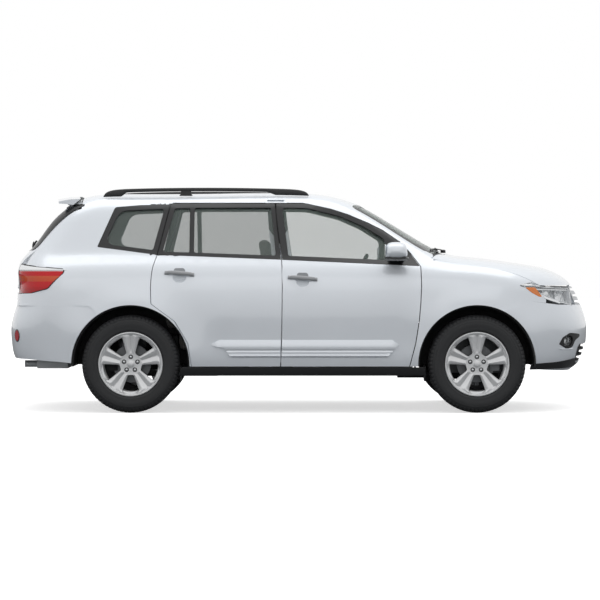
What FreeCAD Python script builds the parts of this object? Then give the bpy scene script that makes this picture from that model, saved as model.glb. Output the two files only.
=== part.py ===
import FreeCAD, Part
import Sketcher
import re
import bisect
import math
import os

# A five-door family suv, modelled at its real size in millimetres.
# +X points to the front, +Y to the vehicle's left side and +Z up; the ground is z = 0 and
# the origin lies under the middle of the vehicle.

doc = FreeCAD.newDocument("Suv")
V = FreeCAD.Vector

# Driving dimensions
sheet = doc.addObject("Spreadsheet::Sheet", "Sizes")
SIZES = [
    ("wheelbase", 2790, "between the front and rear wheel centres"),
    ("front_overhang", 977, "front wheel centre to the foremost point"),
    ("rear_overhang", 1039, "rear wheel centre to the rearmost point"),
    ("body_width", 1880, "across the doors"),
    ("roof_height", 1790, "top of the roof panel over the ground"),
    ("belt_height", 1240, "lower edge of the side glass at the middle post"),
    ("sill_height", 376, "lower edge of the doors"),
    ("tyre_diameter", 788, ""),
    ("tyre_width", 245, ""),
    ("rim_diameter", 520, "over the rim's flange"),
    ("track", "=body_width - 270", "between the left and right tyre middles"),
    ("arch_radius", 476, "wheel arch cut in the side panels"),
    ("liner_gap", 14, "thickness of the wheel liners inside the arch"),
    ("liner_depth", 430, "from the outer edge of a wheel liner to its inner wall"),
    ("shut_gap", 7, "gap between a door, hood or tailgate and its surround"),
    ("door_depth", 82, "doors below the belt"),
    ("frame_depth", 46, "window frames of the doors"),
    ("panel_depth", 30, "fixed outer panels"),
    ("glass_thickness", 5, ""),
    ("glass_inset", 9, "side glass behind the outer skin"),
    ("seal_gap", 0.3, "running clearance of glass, lamps, hubs and fixed fittings in their seats"),
    ("disc_diameter", 310, "brake disc"),
    ("disc_thickness", 28, ""),
    ("disc_inset", 45, "outer face of the brake disc inboard of the tyre's middle"),
    ("pad_gap", 5, "brake caliper clear of its disc"),
    ("hub_radius", 70, ""),
    ("spoke_count", 5, ""),
    ("spindle_radius", 46, ""),
    ("steer_offset", 70, "steering axis inboard of the tyre's middle"),
    ("ball_radius", 18, "ball joints of the front knuckles"),
    ("arm_width", 60, "suspension arms"),
    ("arm_thickness", 18, ""),
    ("axle_height", 394, "wheel centres over the ground"),
    ("cradle_height", 300, "top of the front subframe, which carries the engine"),
    ("cradle_depth", 50, ""),
    ("engine_length", 540, ""),
    ("engine_width", 760, ""),
    ("engine_height", 580, ""),
    ("floor_height", 330, "underside of the floor pan"),
    ("floor_thickness", 40, ""),
    ("floor_width", "=body_width - 364", ""),
    ("load_height", 660, "top of the load floor"),
    ("tunnel_width", 210, ""),
    ("tunnel_height", 160, "tunnel for the exhaust, over the floor's underside"),
    ("seat_base_height", 640, "top of the front cushions"),
    ("seat_offset", 370, "middle of a front seat from the centre line"),
    ("seat_width", 510, "front seats"),
    ("bench_width", "=body_width - 680", "rear bench"),
    ("cushion_thickness", 150, ""),
    ("backrest_thickness", 130, ""),
    ("headrest_width", 260, ""),
    ("steering_wheel_diameter", 380, ""),
    ("steering_wheel_grip", 32, "thickness of the rim of the steering wheel"),
    ("column_angle", 25, "steering column over the level, in degrees"),
    ("rail_height", 36, "roof rail's bar, top to bottom"),
    ("rail_width", 34, ""),
    ("exhaust_diameter", 56, ""),
    ("exhaust_height", 420, "pipe's middle over the ground"),
]
for row, (name, value, note) in enumerate(SIZES, start=1):
    sheet.set("A%d" % row, name.replace("_", " "))
    sheet.set("B%d" % row, str(value))
    sheet.setAlias("B%d" % row, name)
    sheet.set("C%d" % row, note)
doc.recompute()
S = {name: float(sheet.get(name)) for name, value, note in SIZES}

HALF_LENGTH = (S["wheelbase"] + S["front_overhang"] + S["rear_overhang"]) / 2
FRONT_AXLE = HALF_LENGTH - S["front_overhang"]
REAR_AXLE = FRONT_AXLE - S["wheelbase"]
AXLE_Z = S["axle_height"]
GAP = S["shut_gap"]
SEAL = S["seal_gap"]

# The style lines below are drawn once, on a vehicle of the measured size, and these three
# functions carry a drawn place to the sizes in the sheet.
DRAWN_X = [-2403, -1364, 1426, 2403]
DRAWN_Z = [0, 376, 1240, 1790]


def stretch(value, drawn, real):
    """Carry a drawn coordinate to the real one, straight between the listed stations."""
    place = min(max(bisect.bisect(drawn, value) - 1, 0), len(drawn) - 2)
    share = (value - drawn[place]) / (drawn[place + 1] - drawn[place])
    return real[place] + share * (real[place + 1] - real[place])


def X(value):
    return stretch(value, DRAWN_X, [-HALF_LENGTH, REAR_AXLE, FRONT_AXLE, HALF_LENGTH])


def Z(value):
    return stretch(value, DRAWN_Z, [0, S["sill_height"], S["belt_height"], S["roof_height"]])


def Y(value):
    return value * S["body_width"] / 1880.0


class Line:
    """A smooth curve through a few points: a natural cubic spline, straight beyond its ends."""

    def __init__(self, points):
        points = sorted(points)
        self.a = [p[0] for p in points]
        self.b = [p[1] for p in points]
        n = len(points)
        span = [self.a[i + 1] - self.a[i] for i in range(n - 1)]
        rise = [(self.b[i + 1] - self.b[i]) / span[i] for i in range(n - 1)]
        self.bend = [0.0] * n
        diag, right = [1.0] * n, [0.0] * n
        for i in range(1, n - 1):
            diag[i] = 2 * (span[i - 1] + span[i])
            right[i] = 6 * (rise[i] - rise[i - 1])
            if i > 1:
                share = span[i - 1] / diag[i - 1]
                diag[i] -= share * span[i - 1]
                right[i] -= share * right[i - 1]
        for i in range(n - 2, 0, -1):
            later = span[i] * self.bend[i + 1] if i < n - 2 else 0.0
            self.bend[i] = (right[i] - later) / diag[i]
        self.start = rise[0] - span[0] * self.bend[1] / 6 if n > 2 else rise[0]
        self.end = rise[-1] + span[-1] * self.bend[-2] / 6 if n > 2 else rise[-1]

    def __call__(self, at):
        a, b, bend = self.a, self.b, self.bend
        if at <= a[0]:
            return b[0] + (at - a[0]) * self.start
        if at >= a[-1]:
            return b[-1] + (at - a[-1]) * self.end
        i = bisect.bisect(a, at) - 1
        span = a[i + 1] - a[i]
        q = (at - a[i]) / span
        p = 1 - q
        cubic = (p * p * p - p) * bend[i] + (q * q * q - q) * bend[i + 1]
        return p * b[i] + q * b[i + 1] + cubic * span * span / 6


def soft_max(a, b, blend):
    """The larger of two distances, rounded where they meet."""
    over = max(blend - abs(a - b), 0.0) / blend
    return max(a, b) + over * over * blend / 4


# Style lines of the lower body
# Half width over height, foremost and rearmost points over height, and the bonnet's top
# over length.
side_line = Line([(Z(z), Y(y)) for z, y in (
    (250, 880), (330, 918), (450, 933), (620, 939), (800, 940), (950, 932), (1080, 912),
    (1170, 880), (1240, 836), (1300, 780), (1360, 705))])
nose_line = Line([(Z(z), X(x)) for z, x in (
    (300, 2230), (380, 2330), (483, 2385), (600, 2403), (711, 2401), (804, 2378),
    (922, 2336), (1006, 2312), (1080, 2268), (1150, 2190))])
tail_line = Line([(Z(z), X(x)) for z, x in (
    (300, -2270), (400, -2356), (483, -2386), (620, -2403), (740, -2396), (860, -2362),
    (1000, -2340), (1156, -2333), (1259, -2294), (1340, -2230))])
bonnet_line = Line([(X(x), Z(z)) for x, z in (
    (-2400, 1300), (-1600, 1345), (-400, 1330), (900, 1310), (1248, 1278), (1366, 1264),
    (1518, 1249), (1720, 1222), (1922, 1190), (2024, 1170), (2125, 1142), (2226, 1099),
    (2300, 1040))])
# Style lines of the cabin, which stands in the lower body from CABIN_FLOOR up
CABIN_FLOOR = Z(1120)
cabin_line = Line([(Z(z), Y(y)) for z, y in (
    (1100, 866), (1240, 822), (1400, 764), (1500, 727), (1600, 688), (1700, 646),
    (1800, 600))])
screen_line = Line([(Z(z), X(x)) for z, x in ((1180, 1400), (1276, 1248), (1689, 556))])
back_line = Line([(Z(z), X(x)) for z, x in (
    (1156, -2350), (1259, -2293), (1369, -2207), (1585, -2046), (1658, -1978), (1750, -1886))])
roof_line = Line([(X(x), Z(z)) for x, z in (
    (-2100, 1746), (-1821, 1773), (-1200, 1786), (-700, 1790), (51, 1789), (253, 1773),
    (354, 1756), (455, 1731), (556, 1692), (700, 1610))])

# How strongly the outlines bow between the sides, in sagitta over half width squared.
NOSE_BOW = 0.40e-3
TAIL_BOW = 0.13e-3
SCREEN_BOW = 0.32e-3
BACK_BOW = 0.16e-3
BONNET_CROWN = 0.075e-3
ROOF_CROWN = 0.10e-3
NOSE_CORNER = 330
TAIL_CORNER = 260
BONNET_EDGE = 150
ROOF_EDGE = 120
PILLAR_EDGE = 110
CORNER_POST_EDGE = 170
FLARE = 16
FLARE_REACH = 170


def arch_flare(x, z):
    """How far the side stands proud round a wheel."""
    proud = 0.0
    for axle in (FRONT_AXLE, REAR_AXLE):
        out = (math.hypot(x - axle, z - AXLE_Z) - S["arch_radius"]) / FLARE_REACH
        if out < 1:
            fade = 1 - max(out, 0.0) ** 2
            proud = FLARE * fade * fade
    return proud


def body(x, y, z):
    """About the distance of a place outside the painted skin, negative inside it."""
    y = abs(y)
    middle = x - X(-100)
    side = y - side_line(z) + 45 * (abs(middle) / 2200) ** 6 - arch_flare(x, z)
    slope = 2 * NOSE_BOW * y
    nose = (x - nose_line(z) + NOSE_BOW * y * y) / math.sqrt(1 + slope * slope)
    tail = tail_line(z) + TAIL_BOW * y * y - x
    top = z - bonnet_line(x) + BONNET_CROWN * y * y
    lower = soft_max(soft_max(soft_max(side, nose, NOSE_CORNER), tail, TAIL_CORNER),
                     top, BONNET_EDGE)
    glass = (y - cabin_line(z) + 32 * ((x - X(-300)) / 1500) ** 2) * 0.93
    screen = (x - screen_line(z) + SCREEN_BOW * y * y) * 0.51
    back = (back_line(z) + BACK_BOW * y * y - x) * 0.77
    roof = z - roof_line(x) + ROOF_CROWN * y * y
    cabin = soft_max(soft_max(soft_max(glass, roof, ROOF_EDGE), screen, PILLAR_EDGE),
                     back, CORNER_POST_EDGE)
    cabin = soft_max(cabin, CABIN_FLOOR - z, 60)
    return -soft_max(-lower, -cabin, 60)


def reach(start, direction, depth):
    """Walk from a place inside along a direction to where the skin is depth away."""
    def at(run):
        return [p + run * d for p, d in zip(start, direction)]

    stride, inner, outer = 80.0, 0.0, 80.0
    while body(*at(outer)) < -depth and outer < 4000:
        inner, outer = outer, outer + stride
    for halving in range(14):
        middle = (inner + outer) / 2
        if body(*at(middle)) < -depth:
            inner = middle
        else:
            outer = middle
    return V(*at((inner + outer) / 2))


def steps(first, last, count):
    return [first + (last - first) * i / (count - 1) for i in range(count)]


def spacing(grid):
    """Parameters along the lines of a grid of places, from their mean distances."""
    places = [0.0]
    for i in range(len(grid[0]) - 1):
        runs = [line[i].distanceToPoint(line[i + 1]) for line in grid]
        places.append(places[-1] + sum(runs) / len(runs))
    return places


def smooth_face(grid):
    """A face through a grid of places, smooth both ways."""
    along = spacing(grid)
    across = spacing(list(zip(*grid)))
    curve = Part.BSplineCurve()
    rows = []
    for line in grid:
        curve.interpolate(Points=list(line), Parameters=along)
        rows.append(curve.getPoles())
    v_knots, v_counts = curve.getKnots(), curve.getMultiplicities()
    columns = []
    for column in zip(*rows):
        curve.interpolate(Points=list(column), Parameters=across)
        columns.append(curve.getPoles())
    surface = Part.BSplineSurface()
    surface.buildFromPolesMultsKnots(
        [list(line) for line in zip(*columns)], curve.getMultiplicities(), v_counts,
        curve.getKnots(), v_knots, False, False, 3, 3)
    return surface.toShape()


def skin_face(rays, depth):
    """The skin, moved in by depth (a number, or a function of the place reached at 0)."""
    grid = []
    for line in rays:
        places = []
        for start, direction in line:
            inward = depth
            if callable(depth):
                inward = depth(reach(start, direction, 0))
            places.append(reach(start, direction, inward))
        grid.append(places)
    return smooth_face(grid)


def thinned(rays, columns, rows):
    """About that many of the rays' columns and rows, evenly, with the first and last."""
    def pick(items, count):
        count = min(count, len(items))
        return [items[round(i * (len(items) - 1) / (count - 1))] for i in range(count)]
    return [pick(line, rows) for line in pick(rays, columns)]


def slab(rays, outer, inner):
    """A closed solid between two depths under the skin; the hidden face has fewer spans."""
    top = skin_face(rays, outer)
    low = skin_face(thinned(rays, 5, 8), inner)
    walls = []
    for one, two in zip(top.Edges, low.Edges):
        walls.append(Part.makeRuledSurface(one, two))
    shell = Part.makeShell([top, low] + walls)
    shell.sewShape()
    solid = Part.makeSolid(shell)
    if solid.Volume < 0:
        solid.reverse()
    return solid


# Heights at which the side panels are drawn, closest where the shoulder rolls over
SIDE_ROWS = [Z(z) for z in (290, 400, 560, 760, 930, 1040, 1110, 1180, 1240, 1300, 1380,
                            1540, 1650, 1710, 1740)]


def side_rays(x_first, x_last, columns, rows=SIDE_ROWS):
    """Rays out to the left side, fanned about a line along the cabin; odd counts."""
    angles = []
    for z in rows:
        skin = side_line(z) if z < Z(1240) else cabin_line(z)
        angles.append(math.atan2(z - Z(700), skin - Y(250)))
    lines = []
    for x in steps(x_first, x_last, columns):
        lines.append([((x, Y(250), Z(700)), (0, math.cos(a), math.sin(a))) for a in angles])
    return lines


def end_rays(centre_x, turn, angles, heights):
    """Rays in plan about a post inside one end; turn 0 points to the front."""
    lines = []
    for angle in angles:
        a = math.radians(turn + angle)
        lines.append([((centre_x, 0, z), (math.cos(a), math.sin(a), 0)) for z in heights])
    return lines


def arc_wire(points):
    """A closed flat wire in (a, b) with rounded corners; each point is (a, b, radius)."""
    count = len(points)
    edges, joins = [], []
    for i, (a, b, radius) in enumerate(points):
        here = V(a, b, 0)
        before = V(points[i - 1][0], points[i - 1][1], 0) - here
        after = V(points[(i + 1) % count][0], points[(i + 1) % count][1], 0) - here
        if radius <= 0:
            joins.append((here, None, here))
            continue
        half = before.getAngle(after) / 2
        run = radius / math.tan(half)
        first = here + before.normalize() * run
        last = here + after.normalize() * run
        inward = (before + after).normalize()
        middle = here + inward * (radius / math.sin(half) - radius)
        joins.append((first, middle, last))
    for i, (first, middle, last) in enumerate(joins):
        if middle is not None:
            edges.append(Part.Arc(first, middle, last).toShape())
        following = joins[(i + 1) % count][0]
        if last.distanceToPoint(following) > 1e-6:
            edges.append(Part.makeLine(last, following))
    return Part.Wire(edges)


def stand(face, across, up, start, length):
    """Turn a face drawn in (a, b) to run across and up, and push it out square to both."""
    out = across.cross(up)
    turned = face.copy()
    turned.Placement = FreeCAD.Placement(start, FreeCAD.Rotation(across, up, out, "ZXY"))
    return turned.extrude(out * length)


PLANES = {"xy": (V(1, 0, 0), V(0, 1, 0)), "yz": (V(0, 1, 0), V(0, 0, 1)),
          "zx": (V(0, 0, 1), V(1, 0, 0))}


def prism(points, plane, low, high):
    """An outline drawn in a plane (xy, yz or zx), pushed out between two depths."""
    across, up = PLANES[plane]
    return stand(Part.Face(arc_wire(points)), across, up, across.cross(up) * low, high - low)


def box(x0, x1, y0, y1, z0, z1):
    return Part.makeBox(x1 - x0, y1 - y0, z1 - z0, V(x0, y0, z0))


def rod(one, two, radius):
    axis = two - one
    return Part.makeCylinder(radius, axis.Length, one, axis)


def mirrored(shape):
    return shape.mirror(V(0, 0, 0), V(0, 1, 0))


def keep(name, shape):
    """Put a finished solid into the document under its label."""
    piece = doc.addObject("Part::Feature", name)
    piece.Label = name
    piece.Shape = shape.Solids[0] if len(shape.Solids) == 1 else shape
    return piece


def both(shape):
    """The left piece and its mirror image on the right, as one shape."""
    return Part.makeCompound([shape, mirrored(shape)])


# Shut lines of the doors as length over height: the front edge of the front door, the
# middle post and the rear edge of the rear door.
A_LINE = Line([(Z(z), X(x)) for z, x in (
    (376, 878), (560, 926), (800, 961), (950, 972), (1120, 974), (1180, 971))])
A_POST = Line([(Z(z), X(x)) for z, x in (
    (1180, 971), (1290, 890), (1382, 806), (1477, 668), (1538, 546), (1604, 389),
    (1650, 250), (1682, 110))])
B_LINE = Line([(Z(z), X(x)) for z, x in (
    (376, -152), (600, -145), (800, -141), (1000, -139), (1240, -146), (1480, -178),
    (1697, -198))])
C_LINE = Line([(Z(z), X(x)) for z, x in (
    (880, -1190), (1150, -1190), (1273, -1157), (1480, -1105), (1697, -1052))])
DOOR_TOP = Z(1694)
DOOR_LOW = S["sill_height"]
STATIONS = [DOOR_LOW, Z(560), Z(740), Z(880), Z(1020), Z(1180), Z(1290), Z(1382), Z(1477),
            Z(1538), Z(1604), Z(1650), DOOR_TOP]
DRAFT = 0.42


def front_edge(z):
    return A_LINE(z) if z <= Z(1180) else A_POST(z)


def rear_edge(z):
    """The rear door ends at the C line and, lower down, round the rear wheel."""
    edge = C_LINE(max(z, Z(880)))
    clear = S["arch_radius"] + 26
    rise = z - AXLE_Z
    if abs(rise) < clear:
        edge = max(edge, REAR_AXLE + math.sqrt(clear * clear - rise * rise))
    return edge


def shut_prism(front, rear, low, high, grow=0.0, draft=DRAFT):
    """A block between two shut lines; its rear wall leans forward on the way in, because a
    door's rear edge swings back a little as it comes out."""
    heights = [low - grow] + [z for z in STATIONS if low < z < high] + [high + grow]
    wires = []
    for z in heights:
        skin = side_line(z) if z < Z(1240) else cabin_line(z)
        out, deep = skin + 60, skin - 240
        ahead, behind = front(z) + grow, rear(z) - grow
        wires.append(Part.makePolygon([
            V(ahead, out, z), V(behind - 60 * draft, out, z), V(behind + 240 * draft, deep, z),
            V(ahead, deep, z), V(ahead, out, z)]))
    return Part.makeLoft(wires, True, True)


def door_thickness(place):
    share = min(max((place.z - Z(1050)) / (Z(1400) - Z(1050)), 0), 1)
    share = share * share * (3 - 2 * share)
    return S["door_depth"] + share * (S["frame_depth"] - S["door_depth"])


def tube_cut(radius, x, y0, y1):
    """A disc across the vehicle about a wheel centre, for cutting arches."""
    return Part.makeCylinder(radius, y1 - y0, V(x, y0, AXLE_Z), V(0, 1, 0))


# Windows, as the glass opening seen from the side.
FRONT_WINDOW = [(X(-98), Z(1262), 25), (X(700), Z(1228), 20), (X(690), Z(1402), 60),
                (X(520), Z(1506), 400), (X(330), Z(1590), 400), (X(60), Z(1657), 300),
                (X(-148), Z(1660), 20)]
REAR_WINDOW = [(X(-862), Z(1288), 20), (X(-190), Z(1264), 20), (X(-232), Z(1660), 20),
               (X(-862), Z(1660), 20)]
REAR_VENT = [(X(-1118), Z(1296), 20), (X(-892), Z(1289), 12), (X(-892), Z(1660), 12),
             (X(-1022), Z(1656), 30)]
QUARTER_WINDOW = [(X(-1592), Z(1360), 60), (X(-1190), Z(1306), 25), (X(-1100), Z(1652), 20),
                  (X(-1470), Z(1636), 110)]


def window(outline, grow=0.0):
    """A window's opening as a prism, made larger or smaller all round by grow."""
    face = Part.Face(arc_wire(outline))
    if grow:
        face = Part.Face(face.OuterWire.makeOffset2D(grow))
    return stand(face, V(1, 0, 0), V(0, 0, 1), V(0, Y(1100), 0), Y(800))


GLASS_ROW = 6


def pane(rays, outline):
    """Side glass that just fills its opening."""
    depth = S["glass_inset"]
    upper = [line[GLASS_ROW::2] for line in rays[::2]]
    sheet_of_glass = slab(upper, depth, depth + S["glass_thickness"])
    return sheet_of_glass.common(window(outline, -SEAL))


# Doors, each with a round hollow behind its handle
HOLLOW_RADIUS, HOLLOW_DEPTH = 50, 13
HOLLOW_BALL = (HOLLOW_RADIUS ** 2 + HOLLOW_DEPTH ** 2) / (2 * HOLLOW_DEPTH)


def handle_hollow(x, z):
    skin = reach((x, Y(400), z), (0, 1, 0), 0).y
    return Part.makeSphere(HOLLOW_BALL, V(x, skin + HOLLOW_BALL - HOLLOW_DEPTH, z))


front_door_rays = side_rays(X(-300), X(1030), 7)
rear_door_rays = side_rays(X(-1300), X(-60), 7)
front_block = slab(front_door_rays, 0, door_thickness)
front_door = front_block.common(shut_prism(front_edge, B_LINE, DOOR_LOW, DOOR_TOP))
front_door = front_door.cut(window(FRONT_WINDOW)).cut(handle_hollow(X(21), Z(1083)))
front_pane = pane(front_door_rays, FRONT_WINDOW)


def behind_b(z):
    return B_LINE(z) - GAP


rear_block = slab(rear_door_rays, 0, door_thickness)
rear_door = rear_block.common(shut_prism(behind_b, rear_edge, DOOR_LOW, DOOR_TOP))
rear_door = rear_door.cut(window(REAR_WINDOW)).cut(window(REAR_VENT))
rear_door = rear_door.cut(handle_hollow(X(-971), Z(1120)))
rear_pane = Part.makeCompound([pane(rear_door_rays, REAR_WINDOW),
                               pane(rear_door_rays, REAR_VENT)])
for side, turn in (("left", lambda shape: shape), ("right", mirrored)):
    keep("front_door_" + side, turn(front_door))
    keep("rear_door_" + side, turn(rear_door))
    keep("front_door_glass_" + side, turn(front_pane))
    keep("rear_door_glass_" + side, turn(rear_pane))

# Bonnet: its rear edge bows along the screen and its nose ends level with the lamps' tops
BONNET_LOW = Z(1027)
BONNET_SKIN = 20
bonnet_rays = []
for y in [Y(v) for v in (-840, -640, -440, -220, 0, 220, 440, 640, 840)]:
    lines = []
    for share in (0, 0.14, 0.28, 0.42, 0.56, 0.68, 0.78, 0.86, 0.92, 0.96, 1):
        lean = V(1.75 * share ** 3, 0.55 * y / Y(840), 1.0).normalize()
        start = (X(1000) + share * (X(1930) - X(1000)), 0.8 * y, Z(780))
        lines.append((start, (lean.x, lean.y, lean.z)))
    bonnet_rays.append(lines)


def bonnet_outline(grow):
    """The bonnet in plan, from its rear corners to beyond the nose."""
    wide = [(1070, 775), (1500, 812), (1800, 822), (1960, 815), (2120, 790), (2460, 700)]
    left = [(X(x) - (grow if i == 0 else 0), Y(y) + grow) for i, (x, y) in enumerate(wide)]
    edges = [Part.makePolygon([V(x, -y, 0) for x, y in left])]
    edges.append(Part.makeLine(V(left[-1][0], -left[-1][1], 0), V(left[-1][0], left[-1][1], 0)))
    edges.append(Part.makePolygon([V(x, y, 0) for x, y in reversed(left)]))
    rear = Part.Arc(V(left[0][0], left[0][1], 0), V(X(1238) - grow, 0, 0),
                    V(left[0][0], -left[0][1], 0)).toShape()
    return Part.Wire(sum([part.Edges for part in edges], []) + [rear])


def bonnet_prism(grow=0.0):
    solid = Part.Face(bonnet_outline(grow)).extrude(V(0, 0, Z(1500) - BONNET_LOW + grow))
    solid.translate(V(0, 0, BONNET_LOW - grow))
    return solid


bonnet = slab(bonnet_rays, 0, BONNET_SKIN).common(bonnet_prism())
# A rubber stop under the nose rests on the grille's upper edge, where the lock is
STOP = 40
GRILLE_LOW, GRILLE_TOP = Z(862), Z(1012)
nose = reach((X(1500), 0, BONNET_LOW), (1, 0, 0), BONNET_SKIN / 2).x
bonnet = bonnet.fuse(box(nose - 6, nose + 6, -STOP, STOP, GRILLE_TOP, BONNET_LOW + 8))
keep("hood", bonnet)

# Headlamps and tail lamps wrap round the corners, so each is drawn in the plane across
# the corner and pushed through the skin along the diagonal.


def corner_prism(points, turn, low, high):
    """An outline in (run across the corner, height), pushed out along a plan direction."""
    across = V(-math.sin(turn), math.cos(turn), 0)
    out = V(math.cos(turn), math.sin(turn), 0)
    return stand(Part.Face(arc_wire(points)), across, V(0, 0, 1), out * low, high - low)


def grown(points, grow):
    """An outline moved out all round, its corners kept."""
    wire = arc_wire([(a, b, 0) for a, b, r in points]).makeOffset2D(grow, 2)
    return [(v.X, v.Y, r) for v, (a, b, r) in zip(wire.OrderedVertexes, points)]


FRONT_TURN = math.radians(45)
REAR_TURN = math.radians(135)


def across_front(x, y):
    return (y - x) * math.sqrt(0.5)


def across_rear(x, y):
    return (-y - x) * math.sqrt(0.5)


FRONT_LAMP = [(across_front(X(1778), Y(915)), Z(1030), 8),
              (across_front(X(2090), Y(700)), Z(883), 30),
              (across_front(X(2215), Y(535)), Z(858), 22),
              (across_front(X(2255), Y(500)), Z(1012), 22),
              (across_front(X(1900), Y(850)), Z(1054), 60)]
REAR_LAMP = [(across_rear(X(-1900), Y(905)), Z(1158), 30),
             (across_rear(X(-2010), Y(880)), Z(1000), 90),
             (across_rear(X(-2150), Y(820)), Z(962), 40),
             (across_rear(X(-2300), Y(605)), Z(955), 20),
             (across_rear(X(-2300), Y(640)), Z(1205), 25)]
LAMP_DEPTH = 110
front_end_rays = end_rays(X(1420), 0, [-84, -74, -64, -54, -44, -34, -24, -12, 0, 12, 24, 34,
                                       44, 54, 64, 74, 84],
                          [Z(z) for z in (290, 360, 430, 520, 620, 740, 840, 930, 1010, 1075)])
rear_end_rays = end_rays(X(-1500), 180, [-84, -72, -60, -48, -36, -24, -12, 0, 12, 24, 36,
                                         48, 60, 72, 84],
                         [Z(z) for z in (290, 370, 450, 560, 680, 780, 860, 900)])
front_corner_rays = end_rays(X(1420), 0, steps(8, 86, 10),
                             [Z(z) for z in (820, 880, 950, 1010, 1070, 1110)])
rear_corner_rays = end_rays(X(-1500), 180, steps(-84, -18, 9),
                            [Z(z) for z in (900, 970, 1050, 1130, 1190, 1240)])


def front_lamp_prism(grow):
    return corner_prism(grown(FRONT_LAMP, grow), FRONT_TURN, Y(1000), Y(3000))


def rear_lamp_prism(grow):
    return corner_prism(grown(REAR_LAMP, grow), REAR_TURN, Y(1000), Y(3000))


front_lamp = slab(front_corner_rays, 2, LAMP_DEPTH)
front_lamp = front_lamp.common(front_lamp_prism(-SEAL).cut(bonnet_prism(GAP)))

# Front bumper: from the lamps' lower edges down, with a wide lower intake and fog recesses
BUMPER_TOP = [(X(1560), Z(800), 0), (X(1700), Z(846), 30), (X(1857), Z(900), 0),
              (X(2100), Z(870), 0), (X(2600), Z(860), 0)]
INTAKE = [(Y(-520), Z(400), 50), (Y(520), Z(400), 50), (Y(575), Z(545), 60), (Y(-575), Z(545), 60)]
GRILLE = [(Y(-455), GRILLE_LOW, 30), (Y(455), GRILLE_LOW, 30), (Y(500), GRILLE_TOP, 30),
          (Y(-500), GRILLE_TOP, 30)]
FOG_X, FOG_Y, FOG_Z = X(2122), Y(690), Z(572)
front_bumper_side = [(X(2600), Z(300), 0), (X(2230), Z(322), 60), (X(1900), Z(350), 200),
                     (X(1560), Z(376), 0)] + BUMPER_TOP
front_bumper = slab(front_end_rays, 0, S["panel_depth"])
front_bumper = front_bumper.common(prism(
    [(z, x, r) for x, z, r in reversed(front_bumper_side)], "zx", -Y(1100), Y(1100)))
front_arch = tube_cut(S["arch_radius"], FRONT_AXLE, -Y(1100), Y(1100))
rear_arch = tube_cut(S["arch_radius"], REAR_AXLE, -Y(1100), Y(1100))
lamp_hole = front_lamp_prism(0)
lamp_holes = both(lamp_hole)
front_bumper = front_bumper.cut(front_arch).cut(lamp_holes)
front_bumper = front_bumper.cut(prism(INTAKE, "yz", X(1900), X(2600)))
front_bumper = front_bumper.cut(prism(GRILLE, "yz", X(1900), X(2600)))
front_bumper = front_bumper.cut(bonnet_prism(GAP))
FOG_RADIUS = 58
fog_hole = rod(V(FOG_X - 300, FOG_Y, FOG_Z), V(FOG_X + 300, FOG_Y, FOG_Z), FOG_RADIUS)
front_bumper = front_bumper.cut(both(fog_hole))
# Round fog lamps stand in their own holes, a little behind the skin, on the headlamps' node
fog_rays = end_rays(X(1420), 0, steps(20, 58, 7), [Z(z) for z in (470, 530, 590, 640, 680)])
fog_lamp = slab(fog_rays, 14, 80).common(
    rod(V(FOG_X - 300, FOG_Y, FOG_Z), V(FOG_X + 300, FOG_Y, FOG_Z), FOG_RADIUS - SEAL))
lamps = [front_lamp, mirrored(front_lamp), fog_lamp, mirrored(fog_lamp)]
keep("headlamps", Part.makeCompound(lamps))
keep("front_bumper", front_bumper)

# Grille: a frame with bars across, standing in the bumper's upper opening
grille_block = slab(end_rays(X(1420), 0, steps(-34, 34, 9),
                             [Z(z) for z in (840, 890, 930, 970, 1010, 1040)]), 4, 60)
grille_solid = grille_block.common(prism(grown(GRILLE, -SEAL), "yz", X(1900), X(2600)))
grille_solid = grille_solid.cut(both(front_lamp_prism(SEAL)))
bars = 3
bar_pitch = (GRILLE_TOP - GRILLE_LOW) / bars
for i in range(bars):
    low = GRILLE_LOW + i * bar_pitch + 14
    high = low + bar_pitch - 26
    inner = [(Y(-440), low, 12), (Y(440), low, 12), (Y(452), high, 12), (Y(-452), high, 12)]
    grille_solid = grille_solid.cut(prism(inner, "yz", X(1900), X(2600)))
# The lower grille fills the bumper's intake with its own slats
lower_block = slab(end_rays(X(1420), 0, steps(-42, 42, 9),
                            [Z(z) for z in (360, 420, 480, 540, 600)]), 10, 46)
lower_grille = lower_block.common(prism(grown(INTAKE, -SEAL), "yz", X(1900), X(2600)))
slats = 3
slat_pitch = (INTAKE[2][1] - INTAKE[0][1]) / slats
for i in range(slats):
    low = INTAKE[0][1] + i * slat_pitch + 10
    high = low + slat_pitch - 16
    lower_grille = lower_grille.cut(box(X(1900), X(2600), -Y(490), Y(490), low, high))
keep("grille", Part.makeCompound([grille_solid, lower_grille]))

# Wings: from the front door to the lamps, over the wheel arch
wing_rays = side_rays(X(840), X(2040), 9, SIDE_ROWS[:-3])
wing = slab(wing_rays, 0, S["panel_depth"])


wing_side = [(X(800), DOOR_LOW, 0), (X(1560), DOOR_LOW, 0), (X(1560), Z(800), 0),
             (X(1700), Z(846), 30), (X(1857), Z(900), 0), (X(1990), Z(885), 0),
             (X(1990), Z(1200), 0), (X(1100), Z(1230), 0), (X(985), Z(1215), 0),
             (X(800), Z(1215), 0)]
wing = wing.common(prism([(z, x, r) for x, z, r in reversed(wing_side)], "zx", Y(300), Y(1100)))
wing = wing.cut(front_arch).cut(lamp_hole).cut(bonnet_prism(GAP))
wing = wing.cut(shut_prism(lambda z: front_edge(z) + GAP, B_LINE, DOOR_LOW - 60, DOOR_TOP))
keep("fenders", both(wing))

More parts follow.
